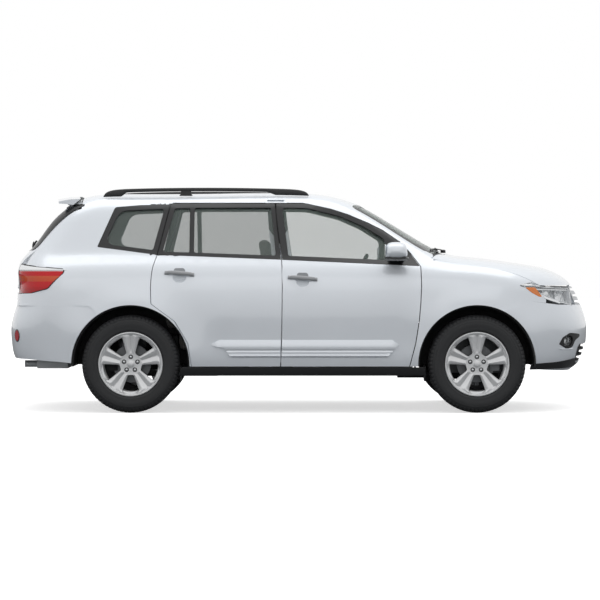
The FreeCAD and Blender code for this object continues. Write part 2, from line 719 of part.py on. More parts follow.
# Rear bumper
BUMPER_LINE = Z(862)
rear_bumper_side = [(X(-2600), BUMPER_LINE, 0), (X(-1690), BUMPER_LINE, 0),
                    (X(-1640), Z(800), 0), (X(-1640), Z(376), 0), (X(-1900), Z(410), 200),
                    (X(-2200), Z(432), 100), (X(-2600), Z(440), 0)]
rear_bumper = slab(rear_end_rays, 0, S["panel_depth"])
rear_bumper = rear_bumper.common(prism([(z, x, r) for x, z, r in rear_bumper_side], "zx",
                                       -Y(1100), Y(1100)))
rear_bumper = rear_bumper.cut(rear_arch)
rear_bumper = rear_bumper.cut(both(rear_lamp_prism(0)))
keep("rear_bumper", rear_bumper)

# Tailgate: hinged along its top edge, with the wing over the glass fused to it
GATE_FRONT = X(-1790)
GATE_LOW = Z(868)
gate_rays = []
for y in [Y(v) for v in (-700, -560, -400, -200, 0, 200, 400, 560, 700)]:
    gate_rays.append([((X(-1500), y, Z(1250)), (-math.cos(a), 0, math.sin(a)))
                      for a in (math.radians(d) for d in (-27, -18, -10, -3, 4, 12, 22, 34,
                                                           46, 56, 66))])
GATE = [(Y(-600), GATE_LOW, 40), (Y(600), GATE_LOW, 40), (Y(606), Z(960), 60),
        (Y(650), Z(1190), 80), (Y(672), Z(1300), 90), (Y(616), Z(1620), 120),
        (Y(614), Z(1810), 0), (Y(-614), Z(1810), 0), (Y(-616), Z(1620), 120),
        (Y(-672), Z(1300), 90), (Y(-650), Z(1190), 80), (Y(-606), Z(960), 60)]
GATE_GLASS = [(Y(-560), Z(1312), 70), (Y(560), Z(1312), 70), (Y(505), Z(1672), 60),
              (Y(-505), Z(1672), 60)]
gate_block = slab(gate_rays, 0, 52)
gate_prism = prism(GATE, "yz", X(-2600), GATE_FRONT)
gate_hole = prism(grown(GATE, GAP), "yz", X(-2600), GATE_FRONT + GAP)
gate = gate_block.common(gate_prism)
# Its flanks stay near the skin, so that they leave the corner posts as it swings
GATE_FLANK = 175
gate_side = [(X(-2600), Z(800), 0), (X(-2340) + GATE_FLANK, Z(800), 0)]
gate_side += [(back_line(Z(z)) + GATE_FLANK, Z(z), 0) for z in (1156, 1259, 1369, 1480, 1585, 1658)]
gate_side += [(GATE_FRONT + GAP, Z(1700), 0), (GATE_FRONT + GAP, Z(1900), 0), (X(-2600), Z(1900), 0)]
gate = gate.common(prism([(z, x, r) for x, z, r in gate_side], "zx", -Y(1100), Y(1100)))
rear_lamp = slab(rear_corner_rays, 0, LAMP_DEPTH * 0.6)
rear_lamp = rear_lamp.common(rear_lamp_prism(-SEAL).cut(gate_hole))
keep("tail_lamps", both(rear_lamp))
glass_prism = prism(GATE_GLASS, "yz", X(-2600), GATE_FRONT)
gate = gate.cut(glass_prism)
spoiler_wires = []
for y in (-560, -300, 0, 300, 560):
    drop = ROOF_CROWN * Y(y) ** 2 * 1.05
    nearer = TAIL_BOW * Y(y) ** 2
    spoiler_wires.append(Part.makePolygon([V(X(x) + nearer, Y(y), Z(z) - drop) for x, z in (
        (-1838, 1766), (-1930, 1762), (-2019, 1745), (-2016, 1728), (-1925, 1722),
        (-1900, 1716), (-1838, 1766))]))
spoiler = Part.makeLoft(spoiler_wires, True, True)
gate = gate.fuse(spoiler)
tail = reach((X(-1500), 0, GATE_LOW), (-1, 0, 0), S["panel_depth"] / 2).x
gate = gate.fuse(box(tail - 6, tail + 6, -STOP, STOP, BUMPER_LINE + SEAL, GATE_LOW + 12))
keep("tailgate", gate)
gate_pane = slab(gate_rays[1:-1], S["glass_inset"], S["glass_inset"] + S["glass_thickness"])
gate_pane = gate_pane.common(prism(grown(GATE_GLASS, -SEAL), "yz", X(-2600), GATE_FRONT))
keep("tailgate_glass", gate_pane)

# Roof between the side frames, from the screen to the tailgate
roof_rays = []
for x in steps(X(-2020), X(700), 11):
    roof_rays.append([((x, y, Z(1200)), (0, 0, 1))
                      for y in [Y(v) for v in (-620, -420, -210, 0, 210, 420, 620)]])
SCREEN_TOP = X(520)
ROOF_SIDE = Y(560)
roof = slab(roof_rays, 0, S["panel_depth"])
roof = roof.common(box(GATE_FRONT + GAP, SCREEN_TOP, -ROOF_SIDE, ROOF_SIDE, Z(1400), Z(1900)))

# Windscreen
screen_rays = []
for y in [Y(v) for v in (-760, -560, -380, -190, 0, 190, 380, 560, 760)]:
    lines = []
    for share in steps(0, 1, 7):
        start = (X(1020) + share * (X(250) - X(1020)), 0.9 * y, Z(1130) + share * (Z(1560) - Z(1130)))
        lean = V(0.515, 0.25 * y / Y(760), 0.857).normalize()
        lines.append((start, (lean.x, lean.y, lean.z)))
    screen_rays.append(lines)
SCREEN = [(X(1188), Y(0), 0), (X(1110), Y(560), 600), (X(1018), Y(716), 40), (X(420), Y(592), 60),
          (SCREEN_TOP, Y(0), 0), (X(420), Y(-592), 60), (X(1018), Y(-716), 40),
          (X(1110), Y(-560), 600)]
roof_front = prism(SCREEN, "xy", Z(1150), Z(1900))
keep("roof_panel", roof.cut(roof_front))
screen = slab(screen_rays, 3, 3 + S["glass_thickness"] + 1)
screen = screen.common(prism(grown(SCREEN, -SEAL), "xy", Z(1150), Z(1900)))
keep("windshield", screen)

# Side frames: sill, door posts, roof edge and the quarter panel behind the rear door
FRAME_SKIN = 46
frame_rays = side_rays(X(-2320), X(1080), 21, SIDE_ROWS[:-2])
for lines in frame_rays:
    x = lines[0][0][0]
    for turn in (70.5, 74.5, 79):
        a = math.radians(turn)
        lines.append(((x, Y(250), Z(700)), (0, math.cos(a), math.sin(a))))
COWL_SIDE = Y(700)
frame_side = [(X(1100), Z(1240), 0), (X(985), Z(1180), 0), (X(985), Z(560), 0),
              (X(905), DOOR_LOW, 0), (X(905), Z(300), 0), (X(-905), Z(300), 0),
              (X(-2600), Z(300), 0), (X(-2600), Z(1900), 0), (X(700), Z(1900), 0),
              (X(1100), Z(1400), 0)]
frame = slab(frame_rays, 0, FRAME_SKIN)
frame = frame.common(prism([(z, x, r) for x, z, r in reversed(frame_side)], "zx",
                           ROOF_SIDE + SEAL, Y(1100)))
frame = frame.cut(shut_prism(lambda z: front_edge(z) + GAP, rear_edge, DOOR_LOW, DOOR_TOP, 0.0)
                  .fuse(shut_prism(front_edge, lambda z: rear_edge(z) - GAP, DOOR_LOW,
                                   DOOR_TOP)).fuse(
    shut_prism(front_edge, rear_edge, DOOR_LOW - GAP, DOOR_TOP + GAP)))
frame = frame.cut(rear_arch).cut(front_arch)
frame = frame.cut(window(QUARTER_WINDOW))
frame = frame.cut(roof_front)
frame = frame.cut(box(X(1000), X(1200), 0, COWL_SIDE + SEAL, Z(1000), Z(1400)))
frame = frame.cut(prism(grown(GATE, GAP), "yz", X(-2600), GATE_FRONT + GAP))
frame = frame.cut(rear_lamp_prism(0)).cut(bonnet_prism(GAP))
bumper_room = [(X(-2600), 0, 0), (X(-1640) + SEAL, 0, 0), (X(-1640) + SEAL, Z(800), 0),
               (X(-1690) + SEAL, BUMPER_LINE + SEAL, 0), (X(-2600), BUMPER_LINE + SEAL, 0)]
frame = frame.cut(prism([(z, x, r) for x, z, r in reversed(bumper_room)], "zx", 0, Y(1100)))
frame = frame.cut(prism([(z, x, r) for x, z, r in reversed(wing_side)], "zx", Y(300), Y(1100)))

# Inner middle post and sill beam, which show through the open doors, joined to the frame
post_wires = []
for z, run in ((S["floor_height"] + 20, 120), (Z(900), 90), (Z(1240), 80), (Z(1480), 76),
               (DOOR_TOP + GAP, 70), (DOOR_TOP + 30, 70)):
    skin = side_line(z) if z < Z(1240) else cabin_line(z)
    depth = S["door_depth"] if z < Z(1100) else S["frame_depth"] + 24
    out = skin - depth - GAP if z < DOOR_TOP + 20 else skin - 8
    deep = max(out - 60, ROOF_SIDE + 2)
    post_wires.append(Part.makePolygon([
        V(B_LINE(z) + run, out, z), V(B_LINE(z) - run, out, z), V(B_LINE(z) - run, deep, z),
        V(B_LINE(z) + run, deep, z), V(B_LINE(z) + run, out, z)]))
post = Part.makeLoft(post_wires, True, True)
sill_beam = box(REAR_AXLE + S["arch_radius"] + 4, X(905) - 8, Y(760), Y(918) - S["door_depth"] - GAP,
                S["floor_height"], DOOR_LOW + 60)
frame = frame.fuse(post).fuse(sill_beam)
keep("side_frame_left", frame)
keep("side_frame_right", mirrored(frame))
quarter_rays = side_rays(X(-1700), X(-1000), 7)
keep("quarter_glass", both(pane(quarter_rays, QUARTER_WINDOW)))

# Everything under the skin is made from the document's own bodies and primitives, and each
# of their sizes is an expression over the sheet.
FRONT = "((wheelbase + rear_overhang - front_overhang) / 2)"
REAR = "((rear_overhang - wheelbase - front_overhang) / 2)"


def sized(rule):
    """A rule over the sizes' plain names, as an expression of the document."""
    def full(word):
        return "Sizes." + word.group(0) if word.group(0) in S else word.group(0)
    return re.sub("[a-z_]+", full, str(rule))


def worth(rule):
    return float(sheet.evalExpression(sized(rule)))


def bind(piece, **rules):
    for name, rule in rules.items():
        piece.setExpression(name, sized(rule))
    return piece


def at(piece, x, y, z):
    """Place an object by three rules."""
    for axis, rule in zip("xyz", (x, y, z)):
        piece.setExpression(".Placement.Base." + axis, sized(rule))
    return piece


def block(name, x, y, z):
    """A box between two rules along each axis."""
    lengths = ["(%s) - (%s)" % (high, low) for low, high in (x, y, z)]
    piece = doc.addObject("Part::Box", name)
    bind(piece, Length=lengths[0], Width=lengths[1], Height=lengths[2])
    return at(piece, x[0], y[0], z[0])


def drum(name, radius, length, x, y, z, axis):
    """A cylinder that starts at a place and runs along an axis."""
    piece = bind(doc.addObject("Part::Cylinder", name), Radius=radius, Height=length)
    piece.Placement = FreeCAD.Placement(V(0, 0, 0), FreeCAD.Rotation(V(0, 0, 1), axis))
    return at(piece, x, y, z)


def joined(name, pieces):
    whole = doc.addObject("Part::MultiFuse", name)
    whole.Shapes = pieces
    return whole


def less(name, base, tool):
    whole = doc.addObject("Part::Cut", name)
    whole.Base, whole.Tool = base, tool
    return whole


def grouped(name, pieces):
    """Several solids of one sub-part, which don't touch."""
    whole = doc.addObject("Part::Compound", name)
    whole.Links = pieces
    return whole


def outline(body, name, plane, corners, lift="0"):
    """A closed outline in one of a body's planes, with each corner tied to the sheet."""
    drawn = body.newObject("Sketcher::SketchObject", name)
    plane = next(item for item in body.Origin.OriginFeatures if item.Role == plane)
    drawn.AttachmentSupport = (plane, "")
    drawn.MapMode = "FlatFace"
    drawn.setExpression(".AttachmentOffset.Base.z", sized(lift))
    places = [V(worth(a), worth(b), 0) for a, b in corners]
    for i, place in enumerate(places):
        drawn.addGeometry(Part.LineSegment(place, places[(i + 1) % len(places)]), False)
    for i, rules in enumerate(corners):
        drawn.addConstraint(Sketcher.Constraint("Coincident", i, 2, (i + 1) % len(places), 1))
        for kind, rule, number in zip(("DistanceX", "DistanceY"), rules, places[i]):
            tie = drawn.addConstraint(Sketcher.Constraint(kind, i, 1, number))
            drawn.setExpression("Constraints[%d]" % tie, sized(rule))
    return drawn


def turned(body, name, corners):
    """A (radius, place along the axle) outline revolved about the body's Y axis."""
    drawn = outline(body, name + "_outline", "XY_Plane", corners)
    feature = body.newObject("PartDesign::Revolution", name)
    feature.Profile = drawn
    feature.ReferenceAxis = (drawn, ["V_Axis"])
    feature.Angle = 360
    return feature


# Wheels: hub and brake disc, five spokes with two ridges each, and the barrel with its
# flanges. Drawn about the Y axis; side is 1 on the left and -1 on the right, so that the
# spokes' faces look outward.
RIM, FACE, EDGE = "rim_diameter / 2", "(tyre_width / 2 - 22)", "tyre_width / 2"
DISC_IN = "(disc_inset + disc_thickness)"
BARREL = [(0, 14, 1), (0, 22, 1), (14, 30, 1), (22, 60, 1), (34, None, 0), (22, 50, -1),
          (14, 28, -1), (0, 22, -1), (0, 14, -1), (12, 14, -1), (22, 26, -1), (32, 50, -1),
          (44, None, 0), (34, 60, 1), (24, 30, 1), (14, 14, 1)]
SPOKE = (("hub_radius - 14", 38, 28, 34), (RIM + " * 0.55", 46, 22, 30), (RIM + " - 26", 74, 14, 26))


def road_wheel(place, x, side):
    body = doc.addObject("PartDesign::Body", "wheel_" + place)

    def out(rule):
        return "%d * (%s)" % (side, rule)

    turned(body, "hub_" + place, [
        ("0", out("-" + DISC_IN)), ("disc_diameter / 2", out("-" + DISC_IN)),
        ("disc_diameter / 2", out("-disc_inset")), ("hub_radius + 8", out("-disc_inset")),
        ("hub_radius + 8", out(FACE + " - 46")), ("hub_radius - 2", out(FACE + " - 26")),
        ("30", out(FACE + " - 22")), ("0", out(FACE + " - 22"))])
    sections = []
    for i, (radius, wide, inset, thick) in enumerate(SPOKE):
        top = "%s - %d" % (FACE, inset)
        low = "%s - %d" % (top, thick)
        sections.append(outline(body, "spoke_%s_%d" % (place, i), "XY_Plane", [
            (-wide, out(low)), (wide, out(low)), (wide - 6, out(top)), (8, out(top)),
            (0, out(top + " - 9")), (-8, out(top)), (6 - wide, out(top))], radius))
    spoke = body.newObject("PartDesign::AdditiveLoft", "spoke_" + place)
    spoke.Profile, spoke.Sections, spoke.Ruled = sections[0], sections[1:], True
    spokes = body.newObject("PartDesign::PolarPattern", "spokes_" + place)
    spokes.Originals = [spoke]
    spokes.Axis = (next(item for item in body.Origin.OriginFeatures if item.Role == "Y_Axis"), [""])
    spokes.Angle = 360
    bind(spokes, Occurrences="spoke_count")
    body.Tip = spokes
    turned(body, "barrel_" + place, [
        ("%s - %d" % (RIM, depth), out("0" if inset is None else "%d * (%s - %d)" % (end, EDGE, inset)))
        for depth, inset, end in BARREL])
    return at(body, x, "%d * track / 2" % side, "axle_height")


TREAD = [("%s + seal_gap" % RIM, 12), (RIM + " + 30", 0), ("tyre_diameter / 2 - 60", 0),
         ("tyre_diameter / 2 - 22", 9), ("tyre_diameter / 2 - 7", 26), ("tyre_diameter / 2", 60)]


def road_tyre(place, x, side):
    body = doc.addObject("PartDesign::Body", "tyre_" + place)
    half = [(radius, "%s - %d" % (EDGE, inset)) for radius, inset in TREAD]
    other = [(radius, "%d - %s" % (inset, EDGE)) for radius, inset in reversed(TREAD)]
    turned(body, "tread_" + place, half + other)
    return at(body, x, "%d * track / 2" % side, "axle_height")


for place, x, side in (("front_left", FRONT, 1), ("front_right", FRONT, -1),
                       ("rear_left", REAR, 1), ("rear_right", REAR, -1)):
    road_wheel(place, x, side)
    road_tyre(place, x, side)

# Front knuckles: a spindle to the hub, ball joints above and below on the steering axis, and
# a caliper over the front of the disc
HUB_Y = "(track / 2 - disc_inset - disc_thickness)"
STEER_Y = "(track / 2 - steer_offset)"
BALL_LOW = "(axle_height - disc_diameter / 2 - 24)"
BALL_TOP = "(axle_height + disc_diameter / 2 + 24)"


def across(side, low, high):
    """Two rules across the vehicle on one side, in rising order."""
    return (low, high) if side > 0 else ("-(%s)" % high, "-(%s)" % low)


def caliper(name, x, side, ahead):
    """A block that straddles the disc's edge, clear of it by the pad gap."""
    near, far, deep, edge = ["%s + %d * (disc_diameter / 2 %s)" % (x, ahead, run)
                             for run in ("- 40", "+ 34", "- 60", "+ pad_gap")]
    ends = (near, far) if ahead > 0 else (far, near)
    slot = (deep, edge) if ahead > 0 else (edge, deep)
    whole = block(name + "_block", ends,
                  across(side, HUB_Y + " - 46", HUB_Y + " + disc_thickness + 28"),
                  ("axle_height - 58", "axle_height + 58"))
    gap = block(name + "_slot", slot,
                across(side, HUB_Y + " - pad_gap", HUB_Y + " + disc_thickness + pad_gap"),
                ("axle_height - 70", "axle_height + 70"))
    return less(name, whole, gap)


def knuckle(name, side):
    direction = V(0, -side, 0)
    pieces = [
        drum(name + "_spindle", "spindle_radius", 70, FRONT, "%d * (%s - seal_gap)" % (side, HUB_Y),
             "axle_height", direction),
        block(name + "_upright", (FRONT + " - 30", FRONT + " + 30"),
              across(side, HUB_Y + " - 70", HUB_Y + " - 34"), (BALL_LOW, BALL_TOP)),
        block(name + "_bridge", (FRONT, FRONT + " + disc_diameter / 2 - 30"),
              across(side, HUB_Y + " - 46", HUB_Y + " - 22"), ("axle_height - 30", "axle_height + 30")),
        caliper(name + "_caliper", FRONT, side, 1)]
    for end, z, rise in (("low", BALL_LOW, 0), ("top", BALL_TOP, -20)):
        pieces.append(block(name + "_reach_" + end, (FRONT + " - 20", FRONT + " + 20"),
                            across(side, HUB_Y + " - 60", STEER_Y),
                            ("%s + %d" % (z, rise), "%s + %d" % (z, rise + 20))))
        pieces.append(drum(name + "_ball_" + end, "ball_radius", 20, FRONT,
                           "%d * %s" % (side, STEER_Y), "%s + %d" % (z, rise), V(0, 0, 1)))
    return joined(name, pieces)


knuckle("front_knuckle_left", 1)
knuckle("front_knuckle_right", -1)

# Front subframe: a cradle under the engine with legs back to the floor, and a tower on each
# side with the upper and lower arms that hold the knuckles' ball joints
cradle = block("cradle_block", (FRONT + " - 250", FRONT + " + 210"), ("-390", "390"),
               ("cradle_height - cradle_depth", "cradle_height"))
cradle_hole = block("cradle_hole", (FRONT + " - 170", FRONT + " + 130"), ("-300", "300"),
                    ("cradle_height - cradle_depth - 5", "cradle_height + 5"))
frame_pieces = [less("cradle", cradle, cradle_hole)]
for word, side in (("left", 1), ("right", -1)):
    frame_pieces.append(block("leg_" + word, (FRONT + " - 620", FRONT + " - 240"),
                              across(side, "300", "390"), ("cradle_height - 40", "cradle_height")))
    frame_pieces.append(block("leg_foot_" + word, (FRONT + " - 620", FRONT + " - 560"),
                              across(side, "300", "390"), ("cradle_height - 20", "floor_height - seal_gap")))
    frame_pieces.append(block("tower_" + word, (FRONT + " - arm_width / 2", FRONT + " + arm_width / 2"),
                              across(side, "385", "410"),
                              ("cradle_height - 30", BALL_TOP + " + seal_gap + arm_thickness")))
    frame_pieces.append(block("upper_arm_" + word, (FRONT + " - arm_width / 2", FRONT + " + arm_width / 2"),
                              across(side, "386", STEER_Y + " + ball_radius"),
                              (BALL_TOP + " + seal_gap", BALL_TOP + " + seal_gap + arm_thickness")))
    frame_pieces.append(block("lower_arm_" + word, (FRONT + " - arm_width / 2", FRONT + " + arm_width / 2"),
                              across(side, "560", STEER_Y + " + ball_radius"),
                              (BALL_LOW + " - seal_gap - arm_thickness", BALL_LOW + " - seal_gap")))
    frame_pieces.append(block("arm_post_" + word, (FRONT + " - arm_width / 2", FRONT + " + arm_width / 2"),
                              across(side, "560", "590"),
                              (BALL_LOW + " - seal_gap - arm_thickness", "cradle_height - 20")))
    frame_pieces.append(block("arm_beam_" + word, (FRONT + " - arm_width / 2", FRONT + " + arm_width / 2"),
                              across(side, "380", "590"),
                              ("cradle_height - 45", "cradle_height - 20")))
joined("front_subframe", frame_pieces)

# Rear axle: knuckles with their calipers on trailing arms, joined by a cross beam
axle_pieces = [block("axle_beam", (REAR + " - 60", REAR + " + 60"), ("-600", "600"),
                     ("axle_height - 60", "axle_height - 14"))]
for word, side in (("left", 1), ("right", -1)):
    axle_pieces += [
        drum("stub_" + word, "spindle_radius", 90, REAR, "%d * (%s - seal_gap)" % (side, HUB_Y),
             "axle_height", V(0, -side, 0)),
        block("carrier_" + word, (REAR + " - 60", REAR + " + 60"),
              across(side, HUB_Y + " - 140", HUB_Y + " - 50"), ("axle_height - 90", "axle_height + 60")),
        block("carrier_arm_" + word, (REAR + " - disc_diameter / 2 + 30", REAR),
              across(side, HUB_Y + " - 70", HUB_Y + " - 22"), ("axle_height - 30", "axle_height + 30")),
        caliper("rear_caliper_" + word, REAR, side, -1),
        block("trailing_arm_" + word, (REAR + " - 40", REAR + " + 690"),
              across(side, HUB_Y + " - 140", HUB_Y + " - 96"),
              ("floor_height - seal_gap - 44", "floor_height - seal_gap"))]
joined("rear_axle", axle_pieces)

# Wheel liners: half drums over the wheels, closed on the inner side but for the axles
LINER_OUT = "(body_width / 2 - 46)"
LINER_IN = "(%s - liner_depth)" % LINER_OUT
liners = []
for word, x in (("front", FRONT), ("rear", REAR)):
    for hand, side in (("left", 1), ("right", -1)):
        name = "liner_%s_%s" % (word, hand)
        axis = V(0, side, 0)
        drumhead = drum(name + "_outer", "arch_radius - seal_gap", "liner_depth", x,
                        "%d * %s" % (side, LINER_IN), "axle_height", axis)
        room = drum(name + "_room", "arch_radius - liner_gap", "liner_depth", x,
                    "%d * (%s + 12)" % (side, LINER_IN), "axle_height", axis)
        below = block(name + "_below", (x + " - 700", x + " + 700"),
                      across(side, LINER_IN + " - 50", LINER_OUT + " + 50"), ("-200", "axle_height - 20"))
        opening = block(name + "_opening", (x + " - 200", x + " + 200"),
                        across(side, LINER_IN + " - 10", LINER_IN + " + 20"),
                        ("axle_height - 60", "axle_height + 260"))
        half = less(name + "_half", less(name + "_shell", drumhead, room), below)
        liners.append(less(name, half, opening))
grouped("wheel_liners", liners)

# Engine and gearbox as one block on the cradle
block("engine_block", (FRONT + " - 250", FRONT + " - 250 + engine_length"),
      ("-engine_width / 2", "engine_width / 2"),
      ("cradle_height + seal_gap", "cradle_height + seal_gap + engine_height"))

# Floor pan with a tunnel open from below, the bulkhead, and the raised load floor
FLOOR_TOP = "(floor_height + floor_thickness)"
HALF_FLOOR, HALF_TUNNEL = "floor_width / 2", "tunnel_width / 2"
LINER_SIDE = "(%s - seal_gap)" % LINER_IN
BULKHEAD = "(%s - 546)" % FRONT
HEEL = "(%s + 140)" % REAR
floor_pieces = [
    block("main_floor", (REAR + " + 604", BULKHEAD), ("-" + HALF_FLOOR, HALF_FLOOR),
          ("floor_height", FLOOR_TOP)),
    block("rear_floor", (HEEL, REAR + " + 604"), ("-" + LINER_SIDE, LINER_SIDE),
          ("floor_height", FLOOR_TOP)),
    block("tunnel_top", (HEEL, BULKHEAD), ("-" + HALF_TUNNEL, HALF_TUNNEL),
          ("floor_height", "floor_height + tunnel_height")),
    block("bulkhead", (BULKHEAD, BULKHEAD + " + 30"), ("-600", "600"),
          ("floor_height", "belt_height - 160")),
    block("heel", (HEEL + " - 40", HEEL), ("-" + LINER_SIDE, LINER_SIDE), ("floor_height", "load_height")),
    block("load_floor", (REAR + " - 876", HEEL), ("-" + LINER_SIDE, LINER_SIDE),
          ("load_height - floor_thickness", "load_height")),
    block("load_sides", (REAR + " - 876", REAR + " - arch_radius - 10"), ("-700", "700"),
          ("load_height - floor_thickness", "load_height")),
    block("tail_wall", (REAR + " - 906", REAR + " - 876"), ("-600", "600"),
          ("load_height - 200", "load_height"))]
tunnel_room = block("tunnel_room", (HEEL + " - 60", BULKHEAD + " + 60"),
                    ("30 - " + HALF_TUNNEL, HALF_TUNNEL + " - 30"),
                    ("floor_height - 10", "floor_height + tunnel_height - 30"))
less("floor_pan", joined("floor_pieces", floor_pieces), tunnel_room)

# Exhaust: a pipe along the tunnel into a silencer that hangs across, under the load floor
SILENCER = "(%s - 540)" % REAR
exhaust_pieces = [
    drum("exhaust_pipe", "exhaust_diameter / 2", "%s - 250 - seal_gap - %s + 20" % (FRONT, SILENCER),
         SILENCER + " - 20", "0", "exhaust_height", V(1, 0, 0)),
    block("silencer", (SILENCER + " - 250", SILENCER), ("-560", "60"),
          ("exhaust_height - 76", "exhaust_height + 60")),
    drum("tail_pipe", "exhaust_diameter / 2", 120, SILENCER + " - 360", "-460",
         "exhaust_height - 40", V(1, 0, 0)),
    block("front_hanger", (SILENCER + " - 60", SILENCER + " - 30"), ("-260", "-220"),
          ("exhaust_height + 50", "load_height - floor_thickness - seal_gap")),
    block("rear_hanger", (SILENCER + " - 220", SILENCER + " - 190"), ("-260", "-220"),
          ("exhaust_height + 50", "load_height - floor_thickness - seal_gap"))]
joined("exhaust", exhaust_pieces)

# Dashboard between the doors, padded from its profile
DASH = "(%s - 546 - seal_gap)" % FRONT
dash = doc.addObject("PartDesign::Body", "dashboard_body")
dash_profile = outline(dash, "dashboard_profile", "XZ_Plane", [
    (DASH, "belt_height - 460"), (DASH + " - 240", "belt_height - 460"),
    (DASH + " - 320", "belt_height - 280"), (DASH + " - 300", "belt_height - 130"),
    (DASH + " - 200", "belt_height - 62"), (DASH + " - 60", "belt_height - 62"),
    (DASH, "belt_height - 90")])
dash_pad = dash.newObject("PartDesign::Pad", "dashboard_pad")
dash_pad.Profile = dash_profile
dash_pad.Midplane = True
bind(dash_pad, Length="body_width - 500")

# Steering wheel on its column, which stands in the dashboard
lean = math.radians(S["column_angle"])
WHEEL_X, WHEEL_Z = "(%s - 380)" % DASH, "(belt_height - 125)"
column_way = V(math.cos(lean), 0, -math.sin(lean))


def along_column(piece, run):
    """Stand an object on the column's axis, so far on from the steering wheel."""
    at(piece, "%s + %s * cos(column_angle)" % (WHEEL_X, run), "seat_offset",
       "%s - %s * sin(column_angle)" % (WHEEL_Z, run))
    return piece


GRIP_RADIUS = "(steering_wheel_diameter - steering_wheel_grip) / 2"
grip = bind(doc.addObject("Part::Torus", "steering_grip"), Radius1=GRIP_RADIUS,
            Radius2="steering_wheel_grip / 2")
grip.Placement = FreeCAD.Placement(V(0, 0, 0), FreeCAD.Rotation(V(0, 0, 1), column_way))
along_column(grip, 0)
steering_pieces = [grip]
for name, radius, length, run in (("steering_boss", 80, 44, -14), ("steering_column", 34, 190, 0)):
    steering_pieces.append(along_column(drum(name, radius, length, 0, 0, 0, column_way), run))
for name, way in (("spoke_left", V(0, 1, 0)), ("spoke_right", V(0, -1, 0)),
                  ("spoke_low", column_way.cross(V(0, 1, 0)) * -1)):
    arm = drum("steering_" + name, 12, GRIP_RADIUS, 0, 0, 0, way)
    steering_pieces.append(along_column(arm, 0))
joined("steering_wheel", steering_pieces)
column_room = along_column(drum("column_room", "34 + seal_gap", "190 + seal_gap", 0, 0, 0, column_way), 0)
less("dashboard", dash, column_room)


def padded(body, name, corners, width):
    """A profile in (x, z) padded evenly to both sides of the body's middle."""
    pad = body.newObject("PartDesign::Pad", name + "_pad")
    pad.Profile = outline(body, name + "_profile", "XZ_Plane", corners)
    pad.Midplane = True
    bind(pad, Length=width)
    return pad


# Seats: cushion, backrest and head restraint in one, standing on the floor
def front_seat(name, side):
    body = doc.addObject("PartDesign::Body", name)
    padded(body, name, [
        ("250", "seat_base_height"), ("262", "seat_base_height - 40"),
        ("256", "seat_base_height - cushion_thickness + 20"),
        ("190", FLOOR_TOP + " + seal_gap"), ("-230", FLOOR_TOP + " + seal_gap"),
        ("-270", "seat_base_height - cushion_thickness"), ("-320", "seat_base_height - 60"),
        ("-270 - backrest_thickness - 90", "seat_base_height + 430"),
        ("-270 - backrest_thickness - 106", "seat_base_height + 540"),
        ("-270 - backrest_thickness - 80", "seat_base_height + 572"),
        ("-270 - 116", "seat_base_height + 566"), ("-270 - 86", "seat_base_height + 520"),
        ("-270", "seat_base_height + 120"), ("-222", "seat_base_height - 6")], "seat_width")
    padded(body, name + "_restraint", [
        ("-270 - 130", "seat_base_height + 560"),
        ("-270 - backrest_thickness - 70", "seat_base_height + 560"),
        ("-270 - backrest_thickness - 100", "seat_base_height + 740"),
        ("-270 - backrest_thickness - 70", "seat_base_height + 768"),
        ("-270 - 140", "seat_base_height + 764"),
        ("-270 - 118", "seat_base_height + 730")], "headrest_width")
    return at(body, FRONT + " - 1276", "%d * seat_offset" % side, "0")


grouped("front_seats", [front_seat("seat_left", 1), front_seat("seat_right", -1)])
bench = doc.addObject("PartDesign::Body", "bench_body")
padded(bench, "bench", [
    ("250", "seat_base_height + 30"), ("262", "seat_base_height - 10"),
    ("254", "seat_base_height - cushion_thickness + 60"),
    ("190", FLOOR_TOP + " + seal_gap"), ("-400", FLOOR_TOP + " + seal_gap"),
    ("-320 - backrest_thickness", "seat_base_height + 440"),
    ("-320 - backrest_thickness", "seat_base_height + 500"),
    ("-300 - backrest_thickness", "seat_base_height + 530"), ("-360", "seat_base_height + 526"),
    ("-330", "seat_base_height + 470"), ("-240", "seat_base_height + 120"),
    ("-200", "seat_base_height + 24")],
       "bench_width")
at(bench, REAR + " + 594", "0", "0")
bench_tools = [drum("bench_room_left", "arch_radius + seal_gap", 400, REAR, LINER_SIDE,
                    "axle_height", V(0, 1, 0)),
               drum("bench_room_right", "arch_radius + seal_gap", 400, REAR, "-" + LINER_SIDE,
                    "axle_height", V(0, -1, 0))]
bench_tools.append(block("bench_tunnel", (HEEL, REAR + " + 900"),
                         ("-%s - seal_gap" % HALF_TUNNEL, HALF_TUNNEL + " + seal_gap"),
                         ("floor_height", "floor_height + tunnel_height + seal_gap")))
less("rear_bench", bench, joined("bench_rooms", bench_tools))

# Cowl between the bonnet and the screen
cowl_rays = []
for y in [Y(v) for v in (-720, -500, -250, 0, 250, 500, 720)]:
    cowl_rays.append([((x, y, Z(900)), (0, 0, 1)) for x in steps(X(960), X(1290), 5)])
cowl = slab(cowl_rays, 12, 40)
cowl = cowl.common(box(X(700), X(1400), -COWL_SIDE, COWL_SIDE, Z(1000), Z(1800)))
cowl = cowl.cut(bonnet_prism(GAP))
cowl = cowl.cut(roof_front)
keep("cowl", cowl)

